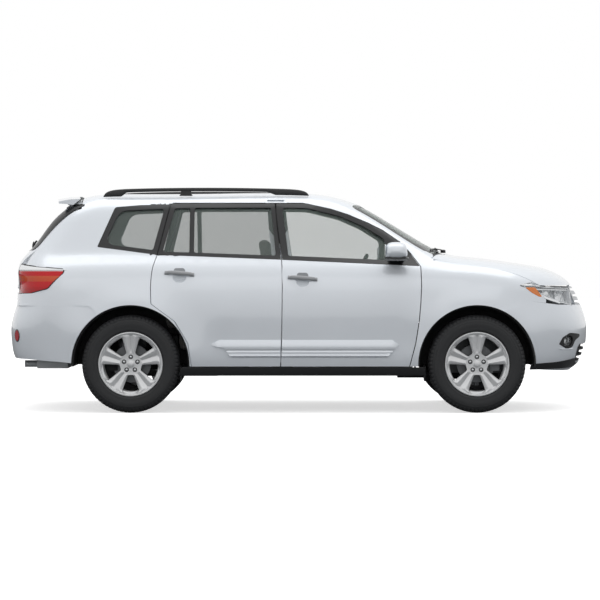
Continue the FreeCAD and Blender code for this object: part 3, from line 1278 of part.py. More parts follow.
# Roof rails on their feet
rail_rays = [reach((x, Y(530), Z(1200)), (0, 0, 1), 0) for x in
             [X(v) for v in (-1600, -1450, -1200, -900, -500, -200, 0, 60)]]
lifts = (0, 18, 28, 30, 30, 26, 16, 0)
tops = [V(p.x, p.y, p.z + lift) for p, lift in zip(rail_rays, lifts)]
rail_curve = Part.BSplineCurve()
rail_curve.interpolate(Points=tops)
wires = []
for share in steps(0, 1, 14):
    first, last = rail_curve.FirstParameter, rail_curve.LastParameter
    p = rail_curve.value(first + share * (last - first))
    swell = min(1, 0.35 + 6 * min(share, 1 - share))
    w, t = S["rail_width"] / 2 * swell, S["rail_height"] / 2 * swell
    wires.append(Part.makePolygon([V(p.x, p.y + a * w, p.z + b * t + t) for a, b in (
        (-1, -1), (1, -1), (1, 0.2), (0.6, 1), (-0.6, 1), (-1, 0.2), (-1, -1))]))
feet = [box(x - 60, x + 60, Y(530) - 15, Y(530) + 15, Z(1700), Z(1815))
        for x in (X(-1520), X(-900), X(-10))]
rail = Part.makeLoft(wires, True, True).fuse(feet).cut(slab(roof_rays, -SEAL, 90))
keep("roof_rails", both(max(rail.Solids, key=lambda solid: solid.Volume)))

# Door mirrors, each on its front door
mirror_wires = []
MIRROR = ((790, 745, 800, 1252, 1288), (840, 735, 800, 1250, 1290), (880, 690, 850, 1236, 1330),
          (960, 678, 868, 1232, 1372), (1040, 690, 860, 1240, 1370), (1075, 705, 830, 1262, 1345))
for y, x0, x1, z0, z1 in MIRROR:
    wire = arc_wire([(x0, z0, 24 if y > 840 else 10), (x1, z0, 24 if y > 840 else 10),
                     (x1, z1, 24 if y > 840 else 10), (x0, z1, 24 if y > 840 else 10)])
    face = Part.Face(wire)
    face.Placement = FreeCAD.Placement(V(0, Y(y), 0), FreeCAD.Rotation(V(1, 0, 0), V(0, 0, 1),
                                                                       V(0, -1, 0), "ZXY"))
    mirror_wires.append(face.OuterWire)
mirror = Part.makeLoft(mirror_wires, True, True)
mirror = mirror.cut(slab(front_door_rays, -SEAL, 120))
keep("mirror_left", mirror)
keep("mirror_right", mirrored(mirror))

# Every sub-part is sound before any file is written
doc.recompute()
os.makedirs("parts", exist_ok=True)
labels = []
for piece in doc.Objects:
    if "Invalid" in piece.State or "Error" in piece.State:
        raise RuntimeError("%s failed: %s" % (piece.Label, piece.State))
    if piece.TypeId == "Spreadsheet::Sheet" or piece.InList:
        continue
    shape = piece.Shape
    if shape.isNull() or not shape.isValid() or not shape.Solids:
        raise RuntimeError("%s has no sound shape" % piece.Label)
    labels.append(piece.Label)
    shape.exportStep("parts/%s.step" % piece.Label)
print("%d parts: %s" % (len(labels), ", ".join(sorted(labels))))
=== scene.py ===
import math

import bmesh
import bpy
import numpy as np
from mathutils import Matrix, Vector
from mathutils.geometry import delaunay_2d_cdt


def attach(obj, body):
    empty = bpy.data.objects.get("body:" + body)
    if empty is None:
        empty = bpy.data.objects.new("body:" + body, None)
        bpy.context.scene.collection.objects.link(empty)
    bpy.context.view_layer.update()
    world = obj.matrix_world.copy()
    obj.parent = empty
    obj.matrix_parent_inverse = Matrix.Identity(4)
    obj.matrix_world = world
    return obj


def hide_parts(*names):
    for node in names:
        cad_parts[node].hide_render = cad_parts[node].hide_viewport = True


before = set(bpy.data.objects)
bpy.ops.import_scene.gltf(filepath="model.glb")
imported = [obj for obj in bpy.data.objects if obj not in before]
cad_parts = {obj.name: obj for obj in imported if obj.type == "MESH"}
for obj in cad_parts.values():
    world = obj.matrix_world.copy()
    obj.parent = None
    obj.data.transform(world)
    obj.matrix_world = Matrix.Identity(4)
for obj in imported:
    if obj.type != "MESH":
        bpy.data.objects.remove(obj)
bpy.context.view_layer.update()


# Body panels
# Steel doors, bonnet, wings, roof and tailgate with plastic bumpers, all sprayed in one pale
# silver metallic under clear coat. The inner faces carry the same paint.
def linear(code):
    """A hex sRGB colour as Blender's linear one."""
    parts = [int(code[i:i + 2], 16) / 255 for i in (1, 3, 5)]
    return tuple(p / 12.92 if p <= 0.04045 else ((p + 0.055) / 1.055) ** 2.4 for p in parts) + (1.0,)


def add_node(tree, kind, inputs=None, links=None, **settings):
    """Add a node, set its properties and input values, and link other sockets to its inputs."""
    node = tree.nodes.new(kind)
    for name, value in settings.items():
        setattr(node, name, value)
    for name, value in (inputs or {}).items():
        node.inputs[name].default_value = value
    for name, socket in (links or {}).items():
        tree.links.new(socket, node.inputs[name])
    return node


def surface(name, colour, rough, metallic=0.0, cloud=0.6, shift=0.03, gloss_shift=0.05, grain=0.0,
            grain_size=0.0012, **sockets):
    """A material whose colour and gloss drift over the piece, with a grain; sizes in metres.

    A grain finer than about a millimetre would not show, so grain_size draws it that coarse."""
    made = bpy.data.materials.new(name)
    made.use_nodes = True
    tree = made.node_tree
    shader = tree.nodes["Principled BSDF"]
    shader.inputs["Metallic"].default_value = metallic
    for socket, value in sockets.items():
        shader.inputs[socket.replace("_", " ")].default_value = value
    place = add_node(tree, "ShaderNodeTexCoord")
    drift = add_node(tree, "ShaderNodeTexNoise", {"Scale": 1 / cloud, "Detail": 4.0},
                     {"Vector": place.outputs["Object"]})
    base = linear(colour)
    ends = [tuple(min(c * (1 + sign * shift), 1.0) for c in base[:3]) + (1.0,) for sign in (-1, 1)]
    tint = add_node(tree, "ShaderNodeMix", {6: ends[0], 7: ends[1]}, {0: drift.outputs["Fac"]},
                    data_type="RGBA")
    tree.links.new(tint.outputs[2], shader.inputs["Base Color"])
    gloss = add_node(tree, "ShaderNodeMapRange", {"To Min": max(rough - gloss_shift, 0.02),
                                                  "To Max": rough + gloss_shift},
                     {"Value": drift.outputs["Fac"]})
    tree.links.new(gloss.outputs["Result"], shader.inputs["Roughness"])
    if grain:
        fine = add_node(tree, "ShaderNodeTexNoise", {"Scale": 1 / grain_size, "Detail": 2.0},
                        {"Vector": place.outputs["Object"]})
        relief = add_node(tree, "ShaderNodeBump", {"Strength": 0.6, "Distance": grain},
                          {"Height": fine.outputs["Fac"]})
        tree.links.new(relief.outputs["Normal"], shader.inputs["Normal"])
    return made


def dress(material, *nodes):
    """Give whole CAD nodes a material."""
    for name in nodes:
        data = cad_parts[name].data
        data.materials.clear()
        data.materials.append(material)


# Metallic base coat under clear coat: pale silver with soft reflections. Its flake is drawn
# 0.8 mm wide, coarser than the real one, so that it can show.
paint = surface("silver_paint", "#E0E5EB", 0.3, metallic=0.22, cloud=0.9, shift=0.012, gloss_shift=0.03,
                grain=0.00002, grain_size=0.0008, Coat_Weight=1.0, Coat_Roughness=0.03)
dress(paint, "hood", "front_bumper", "rear_bumper", "fenders", "roof_panel", "tailgate")
SIDES = ("left", "right")
for side in SIDES:
    dress(paint, "front_door_" + side, "rear_door_" + side, "side_frame_" + side)


# Window surrounds
# Black frames round the side windows, of moulded plastic 9 mm thick, clipped on the doors'
# window frames and on the quarter panel; they reach into the openings up to the glass.
class Line:
    """A smooth curve through a few points: a natural cubic spline, straight beyond its ends."""

    def __init__(self, *points):
        self.at, self.value = np.array(sorted(points), float).T
        span = np.diff(self.at)
        rise = np.diff(self.value) / span
        system = np.eye(len(self.at))
        right = np.zeros(len(self.at))
        for i in range(1, len(self.at) - 1):
            system[i, i - 1:i + 2] = span[i - 1], 2 * (span[i - 1] + span[i]), span[i]
            right[i] = 6 * (rise[i] - rise[i - 1])
        self.bend = np.linalg.solve(system, right)
        self.ends = rise[0] - span[0] * self.bend[1] / 6, rise[-1] + span[-1] * self.bend[-2] / 6

    def __call__(self, at):
        inside = np.clip(at, self.at[0], self.at[-1])
        i = np.clip(np.searchsorted(self.at, inside, side="right") - 1, 0, len(self.at) - 2)
        span = self.at[i + 1] - self.at[i]
        q = (inside - self.at[i]) / span
        p = 1 - q
        cubic = (p ** 3 - p) * self.bend[i] + (q ** 3 - q) * self.bend[i + 1]
        beyond = (at - inside) * np.where(at < inside, self.ends[0], self.ends[1])
        return p * self.value[i] + q * self.value[i + 1] + cubic * span * span / 6 + beyond


side_line = Line((250, 880), (330, 918), (450, 933), (620, 939), (800, 940), (950, 932), (1080, 912),
                 (1170, 880), (1240, 836), (1300, 780), (1360, 705))
nose_line = Line((300, 2230), (380, 2330), (483, 2385), (600, 2403), (711, 2401), (804, 2378),
                 (922, 2336), (1006, 2312), (1080, 2268), (1150, 2190))
tail_line = Line((300, -2270), (400, -2356), (483, -2386), (620, -2403), (740, -2396), (860, -2362),
                 (1000, -2340), (1156, -2333), (1259, -2294), (1340, -2230))
bonnet_line = Line((-2400, 1300), (-1600, 1345), (-400, 1330), (900, 1310), (1248, 1278),
                   (1366, 1264), (1518, 1249), (1720, 1222), (1922, 1190), (2024, 1170),
                   (2125, 1142), (2226, 1099), (2300, 1040))
cabin_line = Line((1100, 866), (1240, 822), (1400, 764), (1500, 727), (1600, 688), (1700, 646),
                  (1800, 600))
screen_line = Line((1180, 1400), (1276, 1248), (1689, 556))
back_line = Line((1156, -2350), (1259, -2293), (1369, -2207), (1585, -2046), (1658, -1978),
                 (1750, -1886))
roof_line = Line((-2100, 1746), (-1821, 1773), (-1200, 1786), (-700, 1790), (51, 1789),
                 (253, 1773), (354, 1756), (455, 1731), (556, 1692), (700, 1610))


def soft_max(a, b, blend):
    """The larger of two values, rounded off where they differ by less than blend."""
    over = np.maximum(blend - abs(a - b), 0) / blend
    return np.maximum(a, b) + over * over * blend / 4


AXLES, HUB_HEIGHT, ARCH_RADIUS = (1426, -1364), 394, 476
FLARE, FLARE_WIDTH, CABIN_FOOT = 16, 170, 1120


def body(places):
    """About the distance of places outside the painted skin, in millimetres, negative inside.

    The factors of y * y are how strongly each outline bows between the sides."""
    x, y, z = places.T
    y = abs(y)
    flare = 0
    for axle in AXLES:
        out = np.maximum(np.hypot(x - axle, z - HUB_HEIGHT) - ARCH_RADIUS, 0) / FLARE_WIDTH
        flare = flare + FLARE * np.maximum(1 - out ** 2, 0) ** 2
    side = y - side_line(z) + 45 * (abs(x + 100) / 2200) ** 6 - flare
    nose = (x - nose_line(z) + 0.40e-3 * y * y) / np.sqrt(1 + (0.80e-3 * y) ** 2)
    tail = tail_line(z) + 0.13e-3 * y * y - x
    top = z - bonnet_line(x) + 0.075e-3 * y * y
    lower = soft_max(soft_max(soft_max(side, nose, 330), tail, 260), top, 150)
    glass = (y - cabin_line(z) + 32 * ((x + 300) / 1500) ** 2) * 0.93
    screen = (x - screen_line(z) + 0.32e-3 * y * y) * 0.51
    back = (back_line(z) + 0.16e-3 * y * y - x) * 0.77
    roof = z - roof_line(x) + 0.10e-3 * y * y
    cabin = soft_max(soft_max(soft_max(glass, roof, 120), screen, 110), back, 170)
    return -soft_max(-lower, -soft_max(cabin, CABIN_FOOT - z, 60), 60)


# Each view's start, its right, its up and the way out of the drawing.
C = math.sqrt(0.5)
VIEWS = {
    "side": ((0, 300, 0), (1, 0, 0), (0, 0, 1), (0, 1, 0)),
    "top": ((0, 0, 700), (1, 0, 0), (0, 1, 0), (0, 0, 1)),
    "front": ((1400, 0, 0), (0, 1, 0), (0, 0, 1), (1, 0, 0)),
    "rear": ((-1400, 0, 0), (0, 1, 0), (0, 0, 1), (-1, 0, 0)),
    "front corner": ((900 * C, 900 * C, 0), (-C, C, 0), (0, 0, 1), (C, C, 0)),
    "rear corner": ((-900 * C, 900 * C, 0), (-C, -C, 0), (0, 0, 1), (-C, C, 0))}
RAY_LENGTH, HALVINGS = 1500.0, 22


def on_skin(view, a, b, lift=0.0):
    """Places where rays across a drawing meet the skin, moved out by lift."""
    start, right, up, out = (np.array(v, float) for v in VIEWS[view])
    base = start + np.outer(a, right) + np.outer(b, up)
    low, high = np.zeros(len(base)), np.full(len(base), RAY_LENGTH)
    for _ in range(HALVINGS):
        middle = (low + high) / 2
        inside = body(base + middle[:, None] * out) < 0
        low, high = np.where(inside, middle, low), np.where(inside, high, middle)
    places = base + low[:, None] * out
    slope = np.stack([body(places + step) - body(places - step) for step in np.eye(3)], 1)
    slope /= np.linalg.norm(slope, axis=1)[:, None]
    return places + slope * np.reshape(lift, (-1, 1))


def rounded(corners, step=14.0):
    """A closed outline through (a, b, radius) corners, as points about step apart."""
    points = []
    for i, (a, b, radius) in enumerate(corners):
        here = np.array((a, b), float)
        before = np.array(corners[i - 1][:2], float) - here
        after = np.array(corners[(i + 1) % len(corners)][:2], float) - here
        reach = min(np.linalg.norm(before), np.linalg.norm(after)) * 0.49
        before, after = before / np.linalg.norm(before), after / np.linalg.norm(after)
        half = math.acos(max(-1, min(1, float(before @ after)))) / 2
        cut = min(radius / math.tan(half), reach) if radius else 0
        if cut < 0.5:
            points.append(here)
            continue
        weight = math.sin(half)
        count = max(3, int(cut * 2 / step) + 2)
        for t in np.linspace(0, 1, count):
            parts = (1 - t) ** 2, 2 * t * (1 - t) * weight, t * t
            points.append((parts[0] * (here + before * cut) + parts[1] * here
                           + parts[2] * (here + after * cut)) / sum(parts))
    loop = []
    for one, two in zip(points, points[1:] + points[:1]):
        count = max(1, int(np.linalg.norm(two - one) / step))
        loop += [one + (two - one) * t for t in np.arange(count) / count]
    return np.array(loop)


def inset(loop, gap):
    """A closed run of points moved inwards by gap."""
    run = np.roll(loop, -1, 0) - np.roll(loop, 1, 0)
    turn = np.sum(loop[:, 0] * np.roll(loop[:, 1], -1) - loop[:, 1] * np.roll(loop[:, 0], -1))
    inward = np.stack([-run[:, 1], run[:, 0]], 1) / np.linalg.norm(run, axis=1)[:, None]
    return loop + inward * gap * (1 if turn > 0 else -1)


def within(points, loop):
    """Which points lie inside a closed outline."""
    a, b = points[:, 0][:, None], points[:, 1][:, None]
    a0, b0 = loop.T
    a1, b1 = np.roll(loop, -1, 0).T
    crosses = ((b0 > b) != (b1 > b)) & (a < (a1 - a0) * (b - b0) / (b1 - b0 + 1e-12) + a0)
    return crosses.sum(1) % 2 == 1


def trapezium(low, high, step=14.0):
    """An outline even on both sides of the middle, from its low and high (half width, b, radius)."""
    return rounded([(-low[0], *low[1:]), low, high, (-high[0], *high[1:])], step)


def patch(view, outline, lift=2.5, depth=8.0, holes=(), grid=25.0, edge=0.0, rows=None):
    """A plate that follows the skin inside an outline, edge being how far its rim drops."""
    loops = [np.asarray(loop) for loop in (outline, *holes)]
    points, edges, drops = [], [], []
    for number, loop in enumerate(loops):
        rings = [(loop, edge)] + ([(inset(loop, -edge if number else edge), 0)] if edge else [])
        for ring, drop in rings:
            first = sum(len(p) for p in points)
            edges += [(first + i, first + (i + 1) % len(ring)) for i in range(len(ring))]
            points.append(ring)
            drops.append(np.full(len(ring), float(drop)))
    low, high = loops[0].min(0), loops[0].max(0)
    across = np.arange(low[0] + grid / 2, high[0], grid)
    up = np.arange(low[1] + grid / 2, high[1], grid) if rows is None else np.array(rows, float)

    def filled(places):
        inside = within(places, loops[0])
        for loop in loops[1:]:
            inside &= ~within(places, loop)
        return inside

    inner = np.stack([part.ravel() for part in np.meshgrid(across, up)], 1)
    inner = inner[filled(inner)]
    rim, room = np.vstack(points), min(grid * 0.4, edge + 3)
    inner = inner[np.array([((rim - p) ** 2).sum(1).min() > room ** 2 for p in inner], bool)]
    flat = np.vstack([rim, inner])
    drop = np.concatenate(drops + [np.zeros(len(inner))])
    made = delaunay_2d_cdt([Vector(p) for p in flat], edges, [], 1, 1e-3)
    place = np.array([tuple(v) for v in made[0]])
    down = np.array([drop[orig[0]] if orig else 0.0 for orig in made[3]])
    faces = [list(face) for face in made[2] if filled(place[list(face)].mean(0)[None])[0]]
    a, b = place.T
    height = lift(a, b) if callable(lift) else np.full(len(place), float(lift))
    shell = np.vstack([on_skin(view, a, b, height - down), on_skin(view, a, b, height - depth)])
    count = len(place)
    used = dict.fromkeys(pair for face in faces for pair in zip(face, face[1:] + face[:1]))
    walls = [[one, one + count, two + count, two] for one, two in used if (two, one) not in used]
    faces += walls + [[i + count for i in reversed(face)] for face in faces]
    return shell, faces, [0] * len(faces)


def merged(*forms):
    """Several forms as one; a form is its points, its faces and each face's material."""
    points, faces, kinds, count = [], [], [], 0
    for form in forms:
        points.append(np.asarray(form[0], float))
        faces += [[i + count for i in face] for face in form[1]]
        kinds += form[2]
        count += len(form[0])
    return np.vstack(points), faces, kinds


def kind(form, number):
    """The form with all its faces in one of the piece's materials."""
    return form[0], form[1], [number] * len(form[1])


def flipped(form):
    """The form's mirror image on the other side."""
    return np.asarray(form[0]) * (1, -1, 1), [list(reversed(face)) for face in form[1]], form[2]


def moved(form, shift=(0, 0, 0), turn=(0, 0, 0)):
    """A form turned by Euler angles in degrees and shifted."""
    x, y, z = (Matrix.Rotation(math.radians(angle), 3, axis) for angle, axis in zip(turn, "XYZ"))
    return np.asarray(form[0], float) @ np.array(z @ y @ x).T + shift, form[1], form[2]


def piece(name, form, rides, *materials, bevel=0.0, angle=35.0):
    """A named piece of the object from a form, riding a body; bevel in millimetres."""
    mesh = bpy.data.meshes.new(name)
    mesh.from_pydata([tuple(p) for p in np.asarray(form[0]) / 1000], [], form[1])
    for material in materials:
        mesh.materials.append(material)
    mesh.polygons.foreach_set("material_index", form[2])
    shaping = bmesh.new()
    shaping.from_mesh(mesh)
    bmesh.ops.remove_doubles(shaping, verts=shaping.verts, dist=1e-6)
    bmesh.ops.recalc_face_normals(shaping, faces=shaping.faces)
    shaping.to_mesh(mesh)
    shaping.free()
    mesh.polygons.foreach_set("use_smooth", [True] * len(mesh.polygons))
    mesh.set_sharp_from_angle(angle=math.radians(angle))
    made = bpy.data.objects.new(name, mesh)
    bpy.context.scene.collection.objects.link(made)
    if bevel:
        round_off = made.modifiers.new("edges", "BEVEL")
        round_off.width = bevel / 1000
        round_off.segments = 2
        round_off.limit_method = "ANGLE"
        round_off.harden_normals = True
    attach(made, rides)
    return made


def both_sides(name, form, bodies, *materials, **settings):
    """The piece on the left and its mirror image on the right."""
    return [piece(name + "_" + side, shape, rides, *materials, **settings)
            for side, shape, rides in zip(SIDES, (form, flipped(form)), bodies)]


FRONT_DOORS, REAR_DOORS, BODY = ("door_fl", "door_fr"), ("door_rl", "door_rr"), ("root", "root")
a_post = Line((1180, 971), (1290, 890), (1382, 806), (1477, 668), (1538, 546), (1604, 389),
              (1650, 250), (1682, 110))
b_line = Line((376, -152), (600, -145), (800, -141), (1000, -139), (1240, -146), (1480, -178),
              (1697, -198))
c_line = Line((880, -1190), (1150, -1190), (1273, -1157), (1480, -1105), (1697, -1052))
front_window = [(-98, 1262, 25), (700, 1228, 20), (690, 1402, 60), (520, 1506, 400), (330, 1590, 400),
                (60, 1657, 300), (-148, 1660, 20)]
rear_window = [(-862, 1288, 20), (-190, 1264, 20), (-232, 1660, 20), (-862, 1660, 20)]
rear_vent = [(-1118, 1296, 20), (-892, 1289, 12), (-892, 1660, 12), (-1022, 1656, 30)]
quarter_window = [(-1592, 1360, 60), (-1190, 1306, 25), (-1100, 1652, 20), (-1470, 1636, 110)]
# Moulded ABS with a polished face: near black with a soft sheen.
trim_black = surface("black_window_trim", "#17181A", 0.3, cloud=0.2, gloss_shift=0.06, grain=0.00003,
                     Coat_Weight=0.3)
AHEAD, BEHIND = 2, -9  # how far trims start before and behind a shut line


def edge_run(line, low, high, shift, count):
    """Corners along a shut line, moved along the vehicle by shift."""
    return [(float(line(z)) + shift, z, 0) for z in np.linspace(low, high, count)]


front_edge = [(b_line(1236) + AHEAD, 1234, 0), (965, 1183, 0)]
front_edge += edge_run(a_post, 1190, 1680, -3, 12) + [(0, 1691.5, 0), (-100, 1692, 0)]
front_edge += edge_run(b_line, 1692, 1236, AHEAD, 6)
rear_edge = [(c_line(1275) + AHEAD, 1274, 0), (b_line(1238) + BEHIND, 1235, 0)]
rear_edge += edge_run(b_line, 1250, 1692, BEHIND, 6) + [(-600, 1691.5, 0)]
rear_edge += edge_run(c_line, 1686, 1276, AHEAD, 6)
quarter_edge = [(-1646, 1338, 8), (c_line(1275) + BEHIND, 1275, 0)]
quarter_edge += edge_run(c_line, 1290, 1684, BEHIND, 5) + [(-1300, 1681, 0), (-1508, 1664, 30)]
for name, outer, windows, doors in (("front", front_edge, [front_window], FRONT_DOORS),
                                    ("rear", rear_edge, [rear_window, rear_vent], REAR_DOORS),
                                    ("quarter", quarter_edge, [quarter_window], BODY)):
    openings = [inset(rounded(window), 4) for window in windows]
    both_sides(name + "_window_trim", patch("side", rounded(outer), 2.5, 9.0, openings, edge=1.5),
               doors, trim_black)


# Glass
# Tempered side panes, laminated windscreen and rear window, clear in front and a little
# darker behind the middle post; printed black round the bonded edges of front and rear screens.
def see_through(name, colour, cover, rough=0.04, cloud=0.5, gloss_shift=0.015, coat=1.0, gleam=0.6):
    """Glass or clear plastic that covers a share of what is behind it."""
    made = surface(name, colour, rough, cloud=cloud, gloss_shift=gloss_shift, Coat_Weight=coat,
                   Coat_Roughness=0.02, Alpha=cover, Specular_IOR_Level=gleam)
    made.surface_render_method = "DITHERED"
    return made


# Float glass, faintly green: light in the front doors, dimmer and without a glare in the
# windscreen, which is seen at a slant, and a little darker behind.
clear_glass = see_through("clear_glass", "#82938C", 0.19)
windscreen_glass = see_through("windscreen_glass", "#6B7B74", 0.47, coat=0.0, gleam=0.15)
privacy_glass = see_through("privacy_glass", "#6E7C77", 0.27)
dress(windscreen_glass, "windshield")
dress(clear_glass, "front_door_glass_left", "front_door_glass_right")
dress(privacy_glass, "rear_door_glass_left", "rear_door_glass_right", "quarter_glass", "tailgate_glass")
# Ceramic print fired onto the glass: an even black under the glass's own gloss.
frit = surface("printed_glass_edge", "#101213", 0.25, cloud=0.1, gloss_shift=0.05, grain=0.00002)
screen_edge, screen_clear = (
    rounded([front, *left, back, *[(x, -y, radius) for x, y, radius in reversed(left)]], 30)
    for front, left, back in (
        ((1183, 0, 0), [(1106, 560, 600), (1014, 711, 40), (424, 588, 60)], (524, 0, 0)),
        ((1080, 0, 0), [(1020, 500, 500), (945, 640, 60), (470, 545, 60)], (550, 0, 0))))
piece("windshield_border", patch("top", screen_edge, -1.8, 1.0, [screen_clear], grid=30), "root", frit)
gate_edge = trapezium((558, 1314, 70), (503, 1670, 60), 25)
piece("rear_glass_border", patch("rear", gate_edge, -7.6, 1.2, [inset(gate_edge, 38)], grid=30),
      "liftgate", frit)
# Extruded rubber: a dull black line.
seal_rubber = surface("screen_rubber", "#141414", 0.6, cloud=0.1, grain=0.00005)
gate_seal = patch("rear", inset(gate_edge, -7), 2.0, 10, [inset(gate_edge, 4)], grid=40, edge=1.5)
piece("rear_glass_seal", gate_seal, "liftgate", seal_rubber)
gate_wrap = trapezium((662, 1312, 40), (606, 1690, 30), 25)
piece("rear_glass_wrap", patch("rear", gate_wrap, 2.8, 4, [inset(gate_edge, -5)], grid=30, edge=1.2),
      "liftgate", frit)


# Door mouldings
# Body-coloured plastic strips with pointed ends, clipped low on the doors: a face turned up
# to the light, a flat band with a groove, and a lip along the bottom.
STRIP_FRONT, STRIP_BACK, STRIP_LOW, STRIP_HIGH = 800, -726, 449, 589
strip_profile = np.array([(447, 2), (450, 9), (455, 16), (464, 18), (470, 13), (474, 12), (500, 13.5),
                          (503, 11), (507, 11), (510, 14), (536, 15.5), (560, 10.5), (589, 2.5)])


def strip_lift(a, b):
    """The moulding's height over the door, falling off to its pointed ends."""
    ends = np.clip(np.minimum(a - STRIP_BACK, STRIP_FRONT - a) / 60, 0.12, 1)
    return np.interp(b, *strip_profile.T) * ends


strip_rows = (452, 455, 459, 464, 470, 474, 487, 500, 503, 507, 510, 523, 536, 548, 560, 574, 583)
strip_joint = float(b_line(452)), float(b_line(STRIP_HIGH))
front_strip = [(strip_joint[0] + AHEAD, STRIP_LOW, 0), (700, STRIP_LOW, 60), (762, 515, 20),
               (STRIP_FRONT, 549, 0), (742, STRIP_HIGH, 20), (strip_joint[1] + AHEAD, STRIP_HIGH, 0)]
rear_strip = [(strip_joint[0] + BEHIND, STRIP_LOW, 0), (strip_joint[1] + BEHIND, STRIP_HIGH, 0),
              (-652, STRIP_HIGH, 20), (STRIP_BACK, 547, 0), (-615, 527, 20), (-555, STRIP_LOW, 60)]
for name, strip, doors in (("front", front_strip, FRONT_DOORS), ("rear", rear_strip, REAR_DOORS)):
    form = patch("side", rounded(strip, 10), strip_lift, 14, grid=22, rows=strip_rows)
    both_sides(name + "_door_moulding", form, doors, paint, angle=50)


# Door handles
# Pull handles of cast metal in satin silver, their grey partly painted shade, arched over the round
# hollows and bolted through the door at both ends; each hollow has a painted rim and painted shade over
# its upper half.
def oval(width, height, power=2.0, count=20):
    """A closed ring of (side, up) points, squarer as power rises."""
    angles = np.arange(count) / count * 2 * math.pi
    shape = [np.sign(f) * abs(f) ** (2 / power) for f in (np.cos(angles), np.sin(angles))]
    return np.stack([shape[0] * width / 2, shape[1] * height / 2], 1)


def lofted(rings):
    """A closed form through rings of the same number of places."""
    rings = np.array(rings, float)
    count = rings.shape[1]
    faces = []
    for i in range(len(rings) - 1):
        for k in range(count):
            m = (k + 1) % count
            faces.append([i * count + k, i * count + m, (i + 1) * count + m, (i + 1) * count + k])
    last = (len(rings) - 1) * count
    faces += [list(range(count - 1, -1, -1)), list(range(last, last + count))]
    return rings.reshape(-1, 3), faces, [0] * len(faces)


def sweep(path, rings, up=(0, 0, 1)):
    """A closed form: rings of (side, up) points carried along a path, one ring for each place."""
    path = np.array(path, float)
    way = np.gradient(path, axis=0)
    way /= np.linalg.norm(way, axis=1)[:, None]
    side = np.cross(way, np.array(up, float))
    side /= np.linalg.norm(side, axis=1)[:, None]
    over = np.cross(side, way)
    rings = np.asarray(rings, float)
    rings = np.broadcast_to(rings, (len(path),) + rings.shape[-2:])
    return lofted(path[:, None] + side[:, None] * rings[..., :1] + over[:, None] * rings[..., 1:])


HALF_GRIP, HOLLOW, CAP_REACH = 108, 49, np.array([86, 119])
# Painted shade: the door's paint as it looks in the handle's shade, a flat mid grey.
painted_hollow_shade = surface("painted_shade_in_hollow", "#8B8E92", 0.5, cloud=0.1, grain=0.00002)
# Cast zinc, satin plated: a soft grey metal, darker than the paint round it; on the handles that grey is
# partly painted shade.
satin = surface("satin_metal", "#A7A9AC", 0.34, metallic=0.55, cloud=0.05, gloss_shift=0.06,
                grain=0.00002)
for name, x, z, tilt, doors in (("front_handle", 21, 1083, -0.075, FRONT_DOORS),
                                ("rear_handle", -971, 1120, -0.07, REAR_DOORS)):
    share = np.linspace(-1, 1, 25)
    arch = 4 + 20 * (1 - abs(share) ** 5) + 2 * (1 - share ** 2)
    path = on_skin("side", x + share * HALF_GRIP, z + share * HALF_GRIP * tilt, arch)
    taper = np.sqrt(np.clip(1 - abs(share) ** 14, 0.03, 1))
    forms = [sweep(path, oval(13, 32, 3) * np.stack([taper, taper], 1)[:, None])]
    for end in (-1, 1):
        cap = on_skin("side", x + end * CAP_REACH, z + CAP_REACH * end * tilt, [6, 6])
        forms.append(sweep(cap, oval(16, 31, 2.6)))
    both_sides(name, merged(*forms), doors, satin, bevel=2)
    back, ahead = x - HOLLOW, x + HOLLOW
    top = [(ahead, z + HOLLOW, HOLLOW), (back, z + HOLLOW, HOLLOW)]
    hollow = rounded([(back, z - HOLLOW, HOLLOW), (ahead, z - HOLLOW, HOLLOW), *top], 6)
    # Painted shade in grey over the upper half of the hollow, under the handle.
    shade = rounded([(back, z + 2, 2), (ahead, z - 5, 2), *top], 6)
    rim = patch("side", hollow, 1.2, 3.5, [inset(hollow, 3)], grid=60, edge=0.6)
    shade = kind(patch("side", inset(shade, 3), 2.6, 3, grid=60), 1)
    both_sides(name + "_hollow_rim", merged(rim, shade), doors, paint, painted_hollow_shade)


# Door mirrors
# Painted shells on black bases, standing on the door at the foot of the window, each with a
# flat mirror glass facing back.
def upright(y, x0, x1, z0, z1, power=3.2, count=40):
    """A ring across the vehicle at y, between two lengths and two heights."""
    x, z = (oval(x1 - x0, z1 - z0, power, count) + ((x0 + x1) / 2, (z0 + z1) / 2)).T
    return np.stack([x, np.full(count, float(y)), z], 1)


def crosswise(x, ring):
    """A ring of (y, z) places set across the vehicle at x."""
    return np.column_stack([np.full(len(ring), float(x)), ring])


shell = lofted([upright(*row) for row in (
    (884, 700, 838, 1254, 1322), (892, 686, 852, 1247, 1338), (910, 677, 862, 1243, 1355),
    (940, 671, 868, 1241, 1370), (975, 670, 870, 1241, 1376), (1010, 674, 868, 1243, 1372),
    (1040, 684, 860, 1248, 1362), (1058, 698, 848, 1258, 1348), (1069, 716, 826, 1274, 1328),
    (1074, 744, 800, 1290, 1314))])
shell[0][:, 0] = 766 + (shell[0][:, 0] - 768) * (1.04 - 0.24 * (shell[0][:, 2] - 1241) / 135)
skirt = lofted([upright(*row) for row in (
    (888, 704, 846, 1234, 1262), (905, 690, 862, 1229, 1262), (940, 680, 872, 1225, 1262),
    (980, 678, 874, 1224, 1262), (1020, 684, 868, 1227, 1262), (1050, 704, 846, 1238, 1262))])
arm = lofted([upright(*row, 3) for row in (
    (806, 690, 850, 1206, 1262), (828, 700, 846, 1212, 1268), (850, 712, 838, 1222, 1280),
    (880, 716, 832, 1234, 1296), (905, 716, 832, 1240, 1300))])
shell[0][:, 0] = np.maximum(shell[0][:, 0], 684)
face = crosswise(682, oval(150, 94, 4, 40) + (978, 1313))
silvered = lofted([face, face + (3, 0, 0)])
